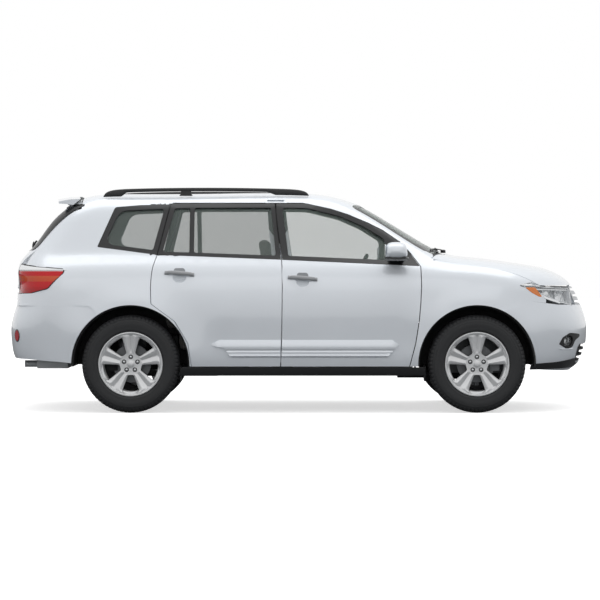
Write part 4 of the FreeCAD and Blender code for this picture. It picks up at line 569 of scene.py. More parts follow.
# Silvered glass: a clean reflection with hardly any colour.
mirror_silver = surface("silvered_glass", "#D9DEE2", 0.05, metallic=1.0, cloud=0.3, gloss_shift=0.02)
mirrors = both_sides("door_mirror", merged(shell, kind(skirt, 1), kind(arm, 1), kind(silvered, 2)),
                     FRONT_DOORS, paint, trim_black, mirror_silver, angle=40)
for mirror, side in zip(mirrors, SIDES):
    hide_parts("mirror_" + side)


# Wheels
# Cast alloy rims with five wide spokes, each with two raised ridges, machined and lacquered,
# held by five nuts; behind them a cast-iron brake disc bolted to the hub.
def lathe(profile, count=96, closed=False):
    """A form turned about the Y axis from (radius, y) points."""
    rings, points, faces = [], [], []
    angles = np.arange(count) / count * 2 * math.pi
    for radius, y in profile:
        if radius < 1e-6:
            rings.append([len(points)] * count)
            points.append((0, y, 0))
        else:
            rings.append(list(range(len(points), len(points) + count)))
            points += [(radius * s, y, radius * c) for s, c in zip(np.sin(angles), np.cos(angles))]
    for one, two in list(zip(rings, rings[1:])) + ([(rings[-1], rings[0])] if closed else []):
        for i in range(count):
            j = (i + 1) % count
            face = list(dict.fromkeys([one[i], one[j], two[j], two[i]]))
            if len(face) > 2:
                faces.append(face)
    return np.array(points, float), faces, [0] * len(faces)


repeat = bpy.data.node_groups.new("repeat", "GeometryNodeTree")
sockets = {label: repeat.interface.new_socket(label, in_out="INPUT", socket_type="NodeSocket" + sort)
           for label, sort in (("Geometry", "Geometry"), ("Count", "Int"), ("Turn", "Vector"))}
repeat.interface.new_socket("Geometry", in_out="OUTPUT", socket_type="NodeSocketGeometry")
given = add_node(repeat, "NodeGroupInput")
number = add_node(repeat, "GeometryNodeInputIndex")
spin = add_node(repeat, "ShaderNodeVectorMath", links={0: given.outputs["Turn"], 3: number.outputs[0]},
                operation="SCALE")
dots = add_node(repeat, "GeometryNodePoints", links={"Count": given.outputs["Count"]})
turned_by = add_node(repeat, "FunctionNodeEulerToRotation", links={0: spin.outputs[0]})
placed = add_node(repeat, "GeometryNodeInstanceOnPoints",
                  links={"Points": dots.outputs[0], "Instance": given.outputs["Geometry"],
                         "Rotation": turned_by.outputs[0]})
real = add_node(repeat, "GeometryNodeRealizeInstances", links={0: placed.outputs[0]})
add_node(repeat, "NodeGroupOutput", links={0: real.outputs[0]})


def repeated(form, count):
    """A form repeated evenly round the Y axis by Geometry Nodes."""
    mesh = bpy.data.meshes.new("seed")
    mesh.from_pydata([tuple(p) for p in form[0]], [], form[1])
    seed = bpy.data.objects.new("seed", mesh)
    bpy.context.scene.collection.objects.link(seed)
    ring = seed.modifiers.new("repeat", "NODES")
    ring.node_group = repeat
    ring[sockets["Count"].identifier] = count
    ring[sockets["Turn"].identifier] = 0.0, math.radians(360 / count), 0.0
    bpy.context.view_layer.update()
    graph = bpy.context.evaluated_depsgraph_get()
    whole = bpy.data.meshes.new_from_object(seed.evaluated_get(graph))
    seed.modifiers.remove(ring)
    points = np.zeros(len(whole.vertices) * 3)
    whole.vertices.foreach_get("co", points)
    faces = [list(face.vertices) for face in whole.polygons]
    bpy.data.objects.remove(seed)
    bpy.data.meshes.remove(mesh)
    bpy.data.meshes.remove(whole)
    return points.reshape(-1, 3), faces, [0] * len(faces)


SPOKES, SPOKE_START, SPOKE_END, SPOKE_DEPTH = 5, 88, 238, 46


def spoke():
    """One fifth of the wheel's face: a spoke that spreads into the hub and the rim."""
    radii = np.concatenate([np.linspace(52, 84, 4), SPOKE_START + 14 * np.linspace(0, 1, 7) ** 2,
                            np.linspace(112, 208, 9), SPOKE_END - 22 * np.linspace(1, 0, 8) ** 2,
                            [241, 246]])
    u = np.array([-1, -0.98, -0.93, -0.86, -0.76, -0.64, -0.52, -0.42, -0.3, -0.2, -0.1, 0])
    u = np.concatenate([u, -u[-2::-1]])
    ridge = 6 * np.exp(-((abs(u) - 0.6) / 0.17) ** 2) - 8 * np.exp(-(u / 0.2) ** 2)
    rings = []
    for radius in radii:
        t = np.clip((radius - SPOKE_START) / (SPOKE_END - SPOKE_START), 0, 1)
        lower = np.clip((radius - SPOKE_START) / 14, 0, 1)
        upper = np.clip((SPOKE_END - radius) / 22, 0, 1)
        gap = (21 + 54 * t) * math.sqrt(1 - (1 - lower) ** 2) * math.sqrt(1 - (1 - upper) ** 2)
        half = math.pi / SPOKES - gap / radius
        shape = min(1.0, gap / 12)
        face = 79 + 17 * np.clip((radius - 60) / 180, 0, 1) ** 1.5
        rim_drop = 9 * shape * np.clip((abs(u) - 0.84) / 0.16, 0, 1) ** 2
        height = face + ridge * shape * np.clip((radius - 70) / 40, 0, 1) - rim_drop
        angles = np.concatenate([u * half, u[::-1] * half * 0.93])
        deep = np.concatenate([height, np.full(len(u), face - SPOKE_DEPTH)])
        rings.append(np.stack([radius * np.sin(angles), deep, radius * np.cos(angles)], 1))
    return lofted(rings)


rim_line = [(259.5, 104), (259.8, 111), (257, 115), (251, 115.5), (247, 113), (245, 106), (243.5, 97),
            (240, 93), (232, 90), (226, 86), (222, 78), (219, 64), (219, 20), (221, -60), (228, -84),
            (240, -96), (248, -108), (256, -113), (259.5, -108), (258, -98), (246, -88), (232, -66),
            (226, -40), (224, 40), (232, 74), (248, 92)]
hub_line = [(0, 93), (16, 92.6), (21, 91), (23.5, 87.5), (24.5, 80), (30, 78), (44, 79.5),
            (54, 79.2), (54, 30), (0, 30)]
NUT_CIRCLE, NUT_RADIUS = 57, 10.5
hexagon = np.arange(6) * math.pi / 3
nut = lofted([np.stack([NUT_RADIUS * f * np.sin(hexagon), np.full(6, y),
                        NUT_CIRCLE + NUT_RADIUS * f * np.cos(hexagon)], 1)
              for f, y in ((1, 70), (1, 83), (0.72, 87), (0.3, 88))])
pocket = moved(lathe([(11, 80.2), (17.5, 80.4), (18.5, 79.4), (18.5, 74), (11, 74)], 32, True),
               (0, 0, NUT_CIRCLE))
disc_form = lathe([(74, -44.5), (154.5, -44.5), (155, -46), (155, -55), (150, -55.5), (150, -62),
                   (155, -63), (155, -72), (154.5, -73.5), (74, -73.5)], 96, True)
hat = lathe([(0, 46), (72, 46), (78, 40), (80, -46), (74, -73), (0, -73)], 64)
valve = moved(lathe([(0, 103), (3.5, 103), (4.5, 100), (4.5, 78), (0, 78)], 12), (0, 0, -232),
              (-18, 0, 0))
# Cast aluminium, machined and lacquered: pale silver with a thin clear gloss.
alloy = surface("lacquered_alloy", "#DDDEDF", 0.32, metallic=0.4, cloud=0.15, shift=0.02,
                gloss_shift=0.05, grain=0.00003, Coat_Weight=0.6, Coat_Roughness=0.06)
# Cast iron, turned: a mid grey metal, a little cloudy.
cast_iron = surface("turned_iron", "#6E7072", 0.38, metallic=0.85, cloud=0.04, shift=0.08,
                    gloss_shift=0.08, grain=0.00004)
# Black moulded plastic, almost black with no glint; the same near black is painted shade in the wheels'
# nut pockets and behind the lower intake.
black_and_recess_shade = surface("black_and_recess_shade", "#1B1C1E", 0.6, cloud=0.05, grain=0.00005)
# Chrome plate: a hard bright mirror.
chrome = surface("bright_chrome", "#D8DADC", 0.12, metallic=1.0, cloud=0.05, gloss_shift=0.05)
# The pockets round the nuts are near black: painted shade in the alloy's recesses.
wheel_form = merged(
    lathe(rim_line, 120, True), lathe(hub_line, 64), repeated(spoke(), SPOKES),
    kind(repeated(pocket, SPOKES), 2), kind(repeated(nut, SPOKES), 3),
    kind(disc_form, 1), kind(hat, 1), kind(valve, 2))


# Tyres
# Radial road tyres of black rubber: rounded side walls with a rim protector and fine rings,
# and a tread of blocks in five rows that notch the shoulders.
side_wall = [(260.5, 106), (266, 113.5), (274, 116), (279, 118), (283, 117.5), (300, 120.5), (318, 122),
             (330, 121.6), (340, 120), (341, 121), (345, 120.4), (346, 118.6), (354, 116), (362, 112),
             (370, 107), (377, 100), (382, 92), (384.5, 80), (385.5, 60)]
tyre_line = side_wall + [(385.5, 0)] + [(r, -y) for r, y in reversed(side_wall)]
TREAD_TOP, TREAD_BASE, TREAD_ANGLE, TREAD_COUNT = 393.6, 384.5, 2.05, 72


def tread_block(sink, outline):
    """A block of tread through the outline that a function gives, sunk at both ends."""
    rings = []
    for share, drop in ((-1, sink), (-0.86, 0), (0.86, 0), (1, sink)):
        a = math.radians(TREAD_ANGLE * share)
        rings.append([(r * math.sin(a), y, r * math.cos(a)) for r, y in outline(drop)])
    return lofted(rings)


def middle_block(low, high):
    """A block of the middle rows between two places across the tread."""
    top = TREAD_TOP
    return tread_block(1.2, lambda drop: [
        (TREAD_BASE, low), (top - 1 - drop, low), (top - drop, low + 1.5), (top - drop, high - 1.5),
        (top - 1 - drop, high), (TREAD_BASE, high)])


shoulder_block = tread_block(1.5, lambda drop: [(r - drop, y - drop * 0.3) for r, y in (
    (383, 66), (393.2, 66), (393, 76), (390.6, 88), (386, 98), (379.5, 106), (371, 112),
    (362, 115.5), (360, 112), (372, 104))])
tread = [repeated(moved(block, turn=(0, turn, 0)), TREAD_COUNT) for block, turn in (
    (middle_block(-15, 15), 0), (middle_block(21, 58), 1.6), (middle_block(-58, -21), 3.2),
    (shoulder_block, 0.8), (flipped(shoulder_block), 2.4))]
# Carbon-filled rubber, moulded: dull charcoal. Its pores are drawn 1.5 mm wide, so that they
# can show.
rubber = surface("tyre_rubber", "#262729", 0.62, cloud=0.03, shift=0.1, gloss_shift=0.08, grain=0.00012,
                 grain_size=0.0015)
tyre_form = merged(lathe(tyre_line, 144, True), *tread)
HALF_TRACK = 805
for end, x in zip(("front", "rear"), AXLES):
    hub, bodies = (x, HALF_TRACK, HUB_HEIGHT), ("wheel_%sl" % end[0], "wheel_%sr" % end[0])
    rims = both_sides("alloy_wheel_" + end, moved(wheel_form, hub), bodies, alloy, cast_iron,
                      black_and_recess_shade, chrome, angle=32)
    tyres = both_sides("road_tyre_" + end, moved(tyre_form, hub), bodies, rubber, angle=40)
    for rim, tyre, side in zip(rims, tyres, SIDES):
        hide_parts("wheel_%s_%s" % (end, side))
        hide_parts("tyre_%s_%s" % (end, side))


# Headlamps
# Clear plastic lenses wrapped round the corners and bonded over a silvered housing, with a
# projector and its ring, a wide main reflector, an amber one at the side and a ribbed one below.
def ribbed(material, pitch, depth, axes, strength=1.0, waviness=0.0):
    """Give a material ribs across some axes, moulded or woven; pitch and depth in metres."""
    tree = material.node_tree
    place = add_node(tree, "ShaderNodeTexCoord")
    total = None
    for axis in axes:
        wave = add_node(tree, "ShaderNodeTexWave", {"Scale": 0.314 / pitch, "Distortion": waviness},
                        {"Vector": place.outputs["Object"]}, bands_direction=axis)
        total = wave.outputs["Fac"] if total is None else add_node(
            tree, "ShaderNodeMath", {}, {0: total, 1: wave.outputs["Fac"]}, operation="ADD").outputs[0]
    relief = add_node(tree, "ShaderNodeBump", {"Strength": strength, "Distance": depth},
                      {"Height": total})
    tree.links.new(relief.outputs["Normal"], tree.nodes["Principled BSDF"].inputs["Normal"])
    return material


# Polycarbonate, moulded and hard coated: almost clear, with a sharp gloss.
clear_lens = see_through("clear_lens", "#E4E8EA", 0.16, rough=0.05, cloud=0.05, gloss_shift=0.02)
# Plastic, moulded with ribs 20 mm apart and silvered: bright broken bands.
reflector = ribbed(surface("ribbed_reflector", "#E9EBED", 0.2, metallic=0.6, cloud=0.04),
                   0.02, 0.0012, "X")
# Dyed acrylic, moulded over prisms 6 mm apart: a warm orange.
amber = ribbed(surface("amber_reflector", "#E27A1C", 0.2, cloud=0.04, Coat_Weight=1.0),
               0.006, 0.0006, "Z")
dress(clear_lens, "headlamps")


def corner(*points, way=1):
    """Places for a corner view from (x, y, z, radius) corners on the skin; way is -1 at the rear."""
    return [((way * y - x) * C, z, radius) for x, y, z, radius in points]


def bowl(radius, depth):
    """A reflector bowl about the Y axis, open towards +Y, its wall 2 mm thick."""
    runs = np.linspace(1, 0, 9)
    inner = [(radius * r, depth * (r * r - 1)) for r in runs]
    outer = [(radius * r + 1 if r else 0, depth * (r * r - 1) - 2) for r in runs[::-1]]
    return lathe(inner + outer, 48)


def aimed(form, place, turn):
    """A form about the Y axis set at a place, looking turn degrees to the left of ahead."""
    return moved(moved(form, turn=(0, 0, turn - 90)), place)


def lamp_unit(place, turn, *forms):
    """Forms about the Y axis aimed together, each in its own material."""
    return merged(*[kind(aimed(form, place, turn), number) for number, form in enumerate(forms)])


housing_edge = rounded(corner((1800, 905, 1026, 8), (2092, 700, 890, 30), (2208, 540, 866, 22),
                              (2248, 506, 1004, 22), (2000, 780, 1012, 0), (1900, 850, 1030, 30)), 10)
housing = merged(patch("front corner", housing_edge, -62, 5, grid=30),
                 patch("front corner", housing_edge, -5, 60, [inset(housing_edge, 4)], grid=200))
projector = lamp_unit((1992, 742, 953), 38, bowl(50, 30),
                      lathe([(0, 22), (12, 21), (24, 16), (32, 6), (34, -4), (0, -6)], 40),
                      lathe([(50, 0), (54, 6), (58, 2), (58, -8), (50, -6)], 48, True))
main_beam = lamp_unit((2108, 628, 948), 30, bowl(66, 46),
                      lathe([(0, 8), (6, 6), (9, -4), (9, -40), (0, -40)], 24),
                      lathe([(66, 0), (69, 3), (71, 0), (70, -6), (66, -4)], 48, True))
brow_edge = rounded(corner((1850, 880, 1018, 4), (1920, 828, 1006, 4), (2180, 570, 1000, 6),
                           (2236, 512, 1000, 4), (2236, 512, 988, 4), (2170, 580, 986, 10),
                           (1930, 820, 992, 10), (1846, 884, 1010, 4)), 10)
brow = patch("front corner", brow_edge, -16, 24, grid=30, edge=2)
both_sides("headlamp_housing", merged(housing, kind(brow, 1)), BODY, reflector, chrome)
# Clear plastic over a silvered bowl: nearly white, with a sharp gloss.
bulb_glass = surface("lamp_glass", "#F1F3F4", 0.06, metallic=0.3, cloud=0.02, Coat_Weight=1.0)
both_sides("headlamp_projector", projector, BODY, reflector, bulb_glass, chrome)
both_sides("headlamp_main_reflector", main_beam, BODY, reflector, bulb_glass, chrome)
side_reflector = rounded(corner((1824, 885, 1011, 5), (1906, 848, 1011, 6), (1948, 806, 929, 8),
                                (1912, 828, 938, 10), (1866, 858, 968, 14)), 8)
both_sides("headlamp_side_reflector", patch("front corner", side_reflector, 2.7, 5, grid=12, edge=1.5),
           BODY, amber)
lower_edge = rounded(corner((1953, 808, 947, 4), (1957, 800, 921, 12), (2004, 763, 903, 30),
                            (2090, 700, 877, 6), (2098, 694, 888, 4)), 8)
both_sides("headlamp_lower_reflector", patch("front corner", lower_edge, 2.7, 5, grid=12, edge=1.5),
           BODY, reflector)


# Fog lamps
# Round lamps deep in the bumper's corners, each in a black tube, with a silvered bowl and a
# bulging lens, over a painted lip.
def ellipse(a, b, wide, high, count=40):
    """A closed run of places round (a, b)."""
    angles = np.arange(count) / count * 2 * math.pi
    return np.stack([a + wide * np.cos(angles), b + high * np.sin(angles)], 1)


FOG = 690, 572
fog_place = on_skin("front", FOG[:1], FOG[1:], -14)[0]
fog_tube = patch("front", ellipse(*FOG, 57, 57), -10, 26, [ellipse(*FOG, 39, 39)], grid=60, edge=2)
both_sides("fog_lamp_bezel", fog_tube, BODY, black_and_recess_shade)
fog_glass = lathe([(0, 14), (14, 12), (28, 5), (36, -6), (37, -12), (0, -14)], 40)
fog_bowl = merged(aimed(bowl(37, 24), fog_place + (-34, 0, 0), 12),
                  kind(aimed(fog_glass, fog_place + (-26, -4, 0), 20), 1))
both_sides("fog_lamp_bowl", fog_bowl, BODY, reflector, bulb_glass)
lip_edge = rounded([(610, 520, 4), (655, 503, 30), (740, 503, 40), (786, 520, 4), (745, 512, 40),
                    (655, 512, 40)], 8)
both_sides("fog_lamp_lip", patch("front", lip_edge, 7, 14, grid=12, edge=3), BODY, paint)


# Tail lamps
# Moulded lenses round the rear corners, in a rubber seal: a clear band for reversing and turning
# above, red below with a lighter brake band, over fine prisms; and a red reflector in a black ring,
# pressed into each corner of the bumper.

# Dyed acrylic, moulded over prisms 9 mm apart: red in bands, with a soft gloss.
tail_lens = ribbed(surface("tail_lamp_lens", "#C22A33", 0.08, cloud=0.04, Coat_Weight=0.25,
                           Coat_Roughness=0.05, Specular_IOR_Level=0.3), 0.009, 0.0005, "Y")
tail_tree = tail_lens.node_tree
tail_place = add_node(tail_tree, "ShaderNodeTexCoord")
tail_axes = add_node(tail_tree, "ShaderNodeSeparateXYZ", links={0: tail_place.outputs["Object"]})
tail_height = add_node(tail_tree, "ShaderNodeMapRange", {"From Min": 0.955, "From Max": 1.205},
                       {"Value": tail_axes.outputs["Z"]})
tail_bands = add_node(tail_tree, "ShaderNodeValToRGB", links={0: tail_height.outputs["Result"]})
stops = tail_bands.color_ramp.elements
for position, colour in ((0.0, "#96040D"), (0.2, "#B80A14"), (0.27, "#C80E18"), (0.4, "#CC161C"),
                         (0.43, "#CC4A26"), (0.58, "#CE5530"), (0.61, "#C8101A"), (0.74, "#C20D18"),
                         (0.76, "#D9D5D6"), (1.0, "#ECECEE")):
    stop = stops.new(position) if position not in (0.0, 1.0) else stops[0 if position == 0.0 else -1]
    stop.color = linear(colour)
tail_tree.links.new(tail_bands.outputs["Color"], tail_tree.nodes["Principled BSDF"].inputs["Base Color"])
dress(tail_lens, "tail_lamps")
lamp_rim = rounded(corner((-1900, 905, 1158, 30), (-2010, 880, 1000, 40), (-2150, 820, 962, 30),
                          (-2290, 634, 957, 6), (-2286, 674, 1202, 12), way=-1), 10)
tail_seal = patch("rear corner", inset(lamp_rim, -3), 1.6, 6, [inset(lamp_rim, 4)], grid=30, edge=1)
both_sides("tail_lamp_seal", tail_seal, BODY, seal_rubber)
clear_band = rounded(corner((-1913, 902, 1156, 12), (-1908, 904, 1150, 8), (-2284, 674, 1150, 4),
                            (-2282, 682, 1194, 12), way=-1), 10)
both_sides("tail_lamp_clear_band", patch("rear corner", clear_band, 3.2, 6, grid=20, edge=1.5), BODY,
           bulb_glass)
# Dyed acrylic over pyramids 4 mm apart: red with a broken glint.
round_reflector = surface("red_reflector", "#B3202A", 0.1, cloud=0.02, grain=0.0004, grain_size=0.004,
                          Coat_Weight=1.0)
REAR_REFLECTOR = (-790 + 2300) * C, 620
rear_disc = patch("rear corner", ellipse(*REAR_REFLECTOR, 34, 44), 4, 10, grid=12, edge=3)
rear_ring = patch("rear corner", ellipse(*REAR_REFLECTOR, 42, 52), 2.2, 8, grid=12, edge=1.5)
both_sides("rear_reflector", merged(rear_disc, kind(rear_ring, 1)), BODY, round_reflector, trim_black)


# Grille
# An upper grille of three satin silver bars between the lamps and a black plastic insert with
# slats in the lower intake, both clipped into the bumper.

# ABS, satin plated: a soft silver without sharp reflections.
silver_bars = surface("satin_grille", "#B4B7BA", 0.3, metallic=0.8, cloud=0.1, gloss_shift=0.06,
                      grain=0.00002)
# Unpainted polypropylene, grained in the mould: matt black.
plain_black = surface("black_plastic", "#1C1D1F", 0.5, cloud=0.1, grain=0.00008)
LOWER_GRILLE = 0.7
dress(silver_bars, "grille")
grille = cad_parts["grille"].data
grille.materials.append(plain_black)
grille.polygons.foreach_set("material_index", [int(face.center.z < LOWER_GRILLE)
                                               for face in grille.polygons])


# Seats
# Two front seats and a rear bench of foam in woven grey cloth, swelled as cloth and sewn into
# channels, on black plastic bases; the front ones have head restraints on steel posts.
PRESSURE, FRAMES = 4, 20


def inflated(form, voxel, cap):
    """A closed form remeshed, swelled as cloth, held near its first shape and smoothed."""
    scene = bpy.context.scene
    mesh = bpy.data.meshes.new("pad")
    mesh.from_pydata((form[0] / 1000).tolist(), [], [list(face) for face in form[1]])
    pad = bpy.data.objects.new("pad", mesh)
    scene.collection.objects.link(pad)

    def baked():
        made = bpy.data.meshes.new_from_object(pad.evaluated_get(bpy.context.evaluated_depsgraph_get()))
        places = np.empty(len(made.vertices) * 3)
        made.vertices.foreach_get("co", places)
        return made, places.reshape(-1, 3) * 1000

    remesh = pad.modifiers.new("remesh", "REMESH")
    remesh.mode = "VOXEL"
    remesh.voxel_size = voxel / 1000
    made, start = baked()
    pad.modifiers.clear()
    pad.data = made
    cloth = pad.modifiers.new("cloth", "CLOTH")
    cloth.settings.use_pressure = True
    cloth.settings.uniform_pressure_force = PRESSURE
    cloth.settings.effector_weights.gravity = 0
    cloth.point_cache.frame_start, cloth.point_cache.frame_end = 1, FRAMES
    for step in range(1, FRAMES + 1):
        scene.frame_set(step)
    shift = baked()[1] - start
    pad.modifiers.clear()
    scene.frame_set(1)
    far = np.linalg.norm(shift, axis=1)[:, None]
    start = start + shift * np.minimum(1, cap / np.maximum(far, 1e-6))
    made.vertices.foreach_set("co", (start / 1000).ravel())
    made.update()
    smooth = pad.modifiers.new("smooth", "SUBSURF")
    smooth.levels = 1
    final, places = baked()
    faces = [list(face.vertices) for face in final.polygons]
    bpy.data.objects.remove(pad)
    return places, faces, [0] * len(faces)


def level(ring, z):
    """A ring of (x, y) places set at one height."""
    return np.column_stack([ring, np.full(len(ring), float(z))])


def foam(size, seams=(), cross=(), bolster=0.0, crown=8.0, cap=9.0, pull=0.035, voxel=12.0):
    """A cushion lying flat: X along, Y across, its comfort side up; seams at these shares."""
    long, wide, thick = np.array(size, float) / 2 - (0, 0, cap * 0.6)
    ring = oval(2, 2, 7, 48)
    ring = ring * (1 - pull * (1 - np.abs(ring[:, ::-1]) ** 2))
    rings = [level(ring * (1 - inwards) * (long, wide), height * thick)
             for height, inwards in ((-1, 0.05), (-0.86, 0.01), (0, 0), (0.7, 0.012), (1, 0.07))]
    places, faces, kinds = inflated(lofted(rings), voxel, cap)
    x, y = places[:, 0] / long, places[:, 1] / wide
    top = np.clip(places[:, 2] / thick, 0, 1)
    raised = np.clip((np.abs(y) - 0.5) / 0.3, 0, 1)
    raised = raised * raised * (3 - 2 * raised) * np.clip((1.02 - np.abs(y)) / 0.12, 0, 1)
    lift = crown * (1 - x ** 2).clip(0) * (1 - y ** 2).clip(0) + bolster * raised * (1 - 0.3 * x ** 2)
    for share in seams:
        lift -= 7 * np.exp(-((y - share) * wide / 6) ** 2)
    for share in cross:
        lift -= 6 * np.exp(-((x - share) * long / 6) ** 2) * (np.abs(y) < max(seams or (1,)) + 0.01)
    places[:, 2] += lift * top
    return places, faces, kinds


def block(middle, size, power=7, round_off=6):
    """A box with rounded edges."""
    long, wide, high = np.array(size, float)
    rings = []
    for along, shrink in ((-long / 2, round_off), (round_off - long / 2, 0), (long / 2 - round_off, 0),
                          (long / 2, round_off)):
        rings.append(crosswise(along, oval(wide - 2 * shrink, high - 2 * shrink, power, 32)))
    return moved(lofted(rings), middle)


# Woven polyester: dull warm grey with a faint light edge. Its threads are drawn 1.8 mm apart,
# coarser than the real ones, so that the weave can show.
seat_cloth = ribbed(surface("woven_seat_cloth", "#8A8883", 0.88, cloud=0.3, Sheen_Weight=0.35,
                            Sheen_Roughness=0.5), 0.0018, 0.0003, "XYZ", strength=0.5, waviness=0.6)
# Polypropylene with a moulded leather grain: black with a faint sheen.
cabin_black = surface("grained_black_plastic", "#26282A", 0.6, cloud=0.1, grain=0.00012,
                      grain_size=0.0015)
seat_foam = foam((520, 500, 128), (-0.56, 0.56), (0.35,), bolster=26)
back_foam = foam((575, 490, 120), (-0.58, 0.58), (-0.25, 0.2), bolster=24, crown=10)
rest_foam = foam((178, 252, 78), cross=(0.55,), crown=6, cap=7, pull=0.02, voxel=8)
bench_foam = foam((490, 588, 140), (-0.62, 0.5), (0.3,), bolster=14)
bench_back = foam((500, 588, 112), (-0.62, 0.5), (-0.3, 0.25), bolster=14)
front_seats, rear_bench = [], []
for side, way in zip(SIDES, (1, -1)):
    y = 370 * way
    for name, form, place, tilt in (("seat_cushion_", seat_foam, (148, y, 556), -3),
                                    ("seat_back_", back_foam, (-190, y, 892), 74.5),
                                    ("seat_restraint_", rest_foam, (-288, y, 1308), 80)):
        front_seats.append(piece(name + side, moved(form, place, (0, tilt, 0)), "root", seat_cloth))
    posts = [sweep([(-262, y + off, 1150), (-276, y + off, 1220), (-288, y + off, 1250)], oval(12, 12))
             for off in (-60, 60)]
    front_seats.append(piece("seat_posts_" + side, merged(*posts), "root", chrome))
    base = merged(block((130, y, 428), (440, 430, 114)), block((-150, y - 245, 560), (110, 34, 190)),
                  block((-150, y + 245, 560), (110, 34, 190)), block((-60, y, 500), (180, 440, 60)))
    front_seats.append(piece("seat_base_" + side, base, "root", cabin_black))
    for name, form, place, tilt in (("bench_cushion_", bench_foam, (-762, way * 300, 574), -2),
                                    ("bench_back_", bench_back, (-1085, way * 300, 906), 75)):
        rear_bench.append(piece(name + side, moved(form, place, (0, tilt, 0)), "root", seat_cloth))
bench_base = merged(block((-700, 0, 440), (330, 1100, 128)), block((-1030, 0, 560), (60, 1000, 150)))
rear_bench.append(piece("bench_base", bench_base, "root", cabin_black))
for node, pieces in (("front_seats", front_seats), ("rear_bench", rear_bench)):
    for made in pieces:
        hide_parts(node)


# Dashboard, steering wheel and linings
# A grained black dashboard with vents, dials and a centre panel, a leather-covered wheel,
# carpet on the floor, and moulded linings on the doors, pillars, roof and tailgate.

# Moulded polypropylene: warm grey and matt.
lining = surface("moulded_lining", "#8F908C", 0.7, cloud=0.15, grain=0.0001, grain_size=0.0015)
# Felt bonded to a board: pale, with no shine.
headlining = surface("headlining_felt", "#BDBCB6", 0.95, cloud=0.2, grain=0.0002, grain_size=0.001,
                     Sheen_Weight=0.2)
# Looped nylon pile, its loops 3 mm wide: dark grey and rough.
carpet = surface("loop_carpet", "#4C4C4A", 0.98, cloud=0.3, grain=0.0012, grain_size=0.003,
                 Sheen_Weight=0.3)
# Sprayed bitumen: black, with a coarse wavy skin.
underseal = surface("black_underseal", "#1A1B1C", 0.75, cloud=0.4, grain=0.0003, grain_size=0.004)
# Dyed leather: soft black with a low sheen.
leather = surface("stitched_leather", "#2B2C2D", 0.5, cloud=0.1, grain=0.00015, grain_size=0.0012)
dress(cabin_black, "dashboard")
dress(leather, "steering_wheel")
dress(underseal, "floor_pan", "wheel_liners")


def face_lining(name, chosen, material):
    """Give some faces of a CAD node another material, by middle, normal and lowest corner, in metres."""
    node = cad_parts[name]
    mesh = node.data
    mesh.materials.append(material)
    places = np.array([node.matrix_world @ face.center for face in mesh.polygons])
    ways = np.array([node.matrix_world.to_3x3() @ face.normal for face in mesh.polygons])
    lows = np.array([min((node.matrix_world @ mesh.vertices[v].co).z for v in face.vertices)
                     for face in mesh.polygons])
    old = np.empty(len(mesh.polygons), int)
    mesh.polygons.foreach_get("material_index", old)
    last = len(mesh.materials) - 1
    mesh.polygons.foreach_set("material_index", np.where(chosen(places, ways, lows), last, old))
    mesh.update()


def inward(places, ways, lows):
    """Faces that look at the cabin's middle from well inside the skin."""
    to_middle = np.column_stack([np.zeros(len(places)), -places[:, 1], 1.2 - places[:, 2]])
    to_middle /= np.linalg.norm(to_middle, axis=1)[:, None]
    return (ways * to_middle).sum(1) > 0.35


def window_frame(places, ways, lows):
    """Outer faces of a door above its belt."""
    return (lows > 1.262) & ~inward(places, ways, lows)


def middle_posts(places, ways, lows):
    """Faces of a side frame beside the doors' windows, under the roof's edge."""
    beside = (abs(places[:, 0] + 0.6) < 0.62) & (abs(places[:, 1]) > 0.5)
    return beside & (lows > 1.268) & (places[:, 2] < 1.69)


for side in SIDES:
    for name in ("front_door_", "rear_door_"):
        face_lining(name + side, inward, lining)
        face_lining(name + side, window_frame, trim_black)
    face_lining("side_frame_" + side, inward, lining)
    face_lining("side_frame_" + side, middle_posts, trim_black)
face_lining("roof_panel", lambda places, ways, lows: ways[:, 2] < -0.5, headlining)
face_lining("floor_pan", lambda places, ways, lows: ways[:, 2] > 0.3, carpet)
face_lining("tailgate", lambda places, ways, lows: ways[:, 0] > 0.35, lining)
face_lining("tail_lamps", lambda places, ways, lows: (ways[:, 0] > 0.25) | inward(places, ways, lows),
            lining)
dial = lathe([(0, 2), (46, 2), (48, 0), (48, -6), (0, -6)], 40)
dials = merged(block((606, 370, 1150), (70, 330, 64), 4, 20),
               *[kind(moved(dial, (566, y, 1146), (0, 0, 90)), 1) for y in (320, 420)])
piece("instrument_panel", dials, "root", cabin_black, black_and_recess_shade)
centre = merged(block((572, 0, 1080), (40, 250, 150), 6, 8),
                kind(block((550, 0, 1100), (6, 190, 90), 8, 2), 1),
                *[kind(block((550, y, 1014), (14, 44, 44), 2.2, 4), 2) for y in (-70, 0, 70)])
piece("centre_panel", centre, "root", cabin_black, black_and_recess_shade, satin)
vents = [merged(block((560, y, 1090), (26, 150, 60), 5, 5),
                *[kind(block((546, y, 1090 + k * 12), (8, 130, 4), 4, 1), 1) for k in (-2, -1, 0, 1, 2)])
         for y in (-600, -180, 180, 600)]
piece("air_vents", merged(*vents), "root", cabin_black, satin)
cabin_mirror = merged(block((676, 0, 1490), (22, 230, 62), 4, 8),
                      kind(block((664, 0, 1490), (3, 216, 50), 4, 1), 1))
piece("cabin_mirror", cabin_mirror, "root", cabin_black, mirror_silver)


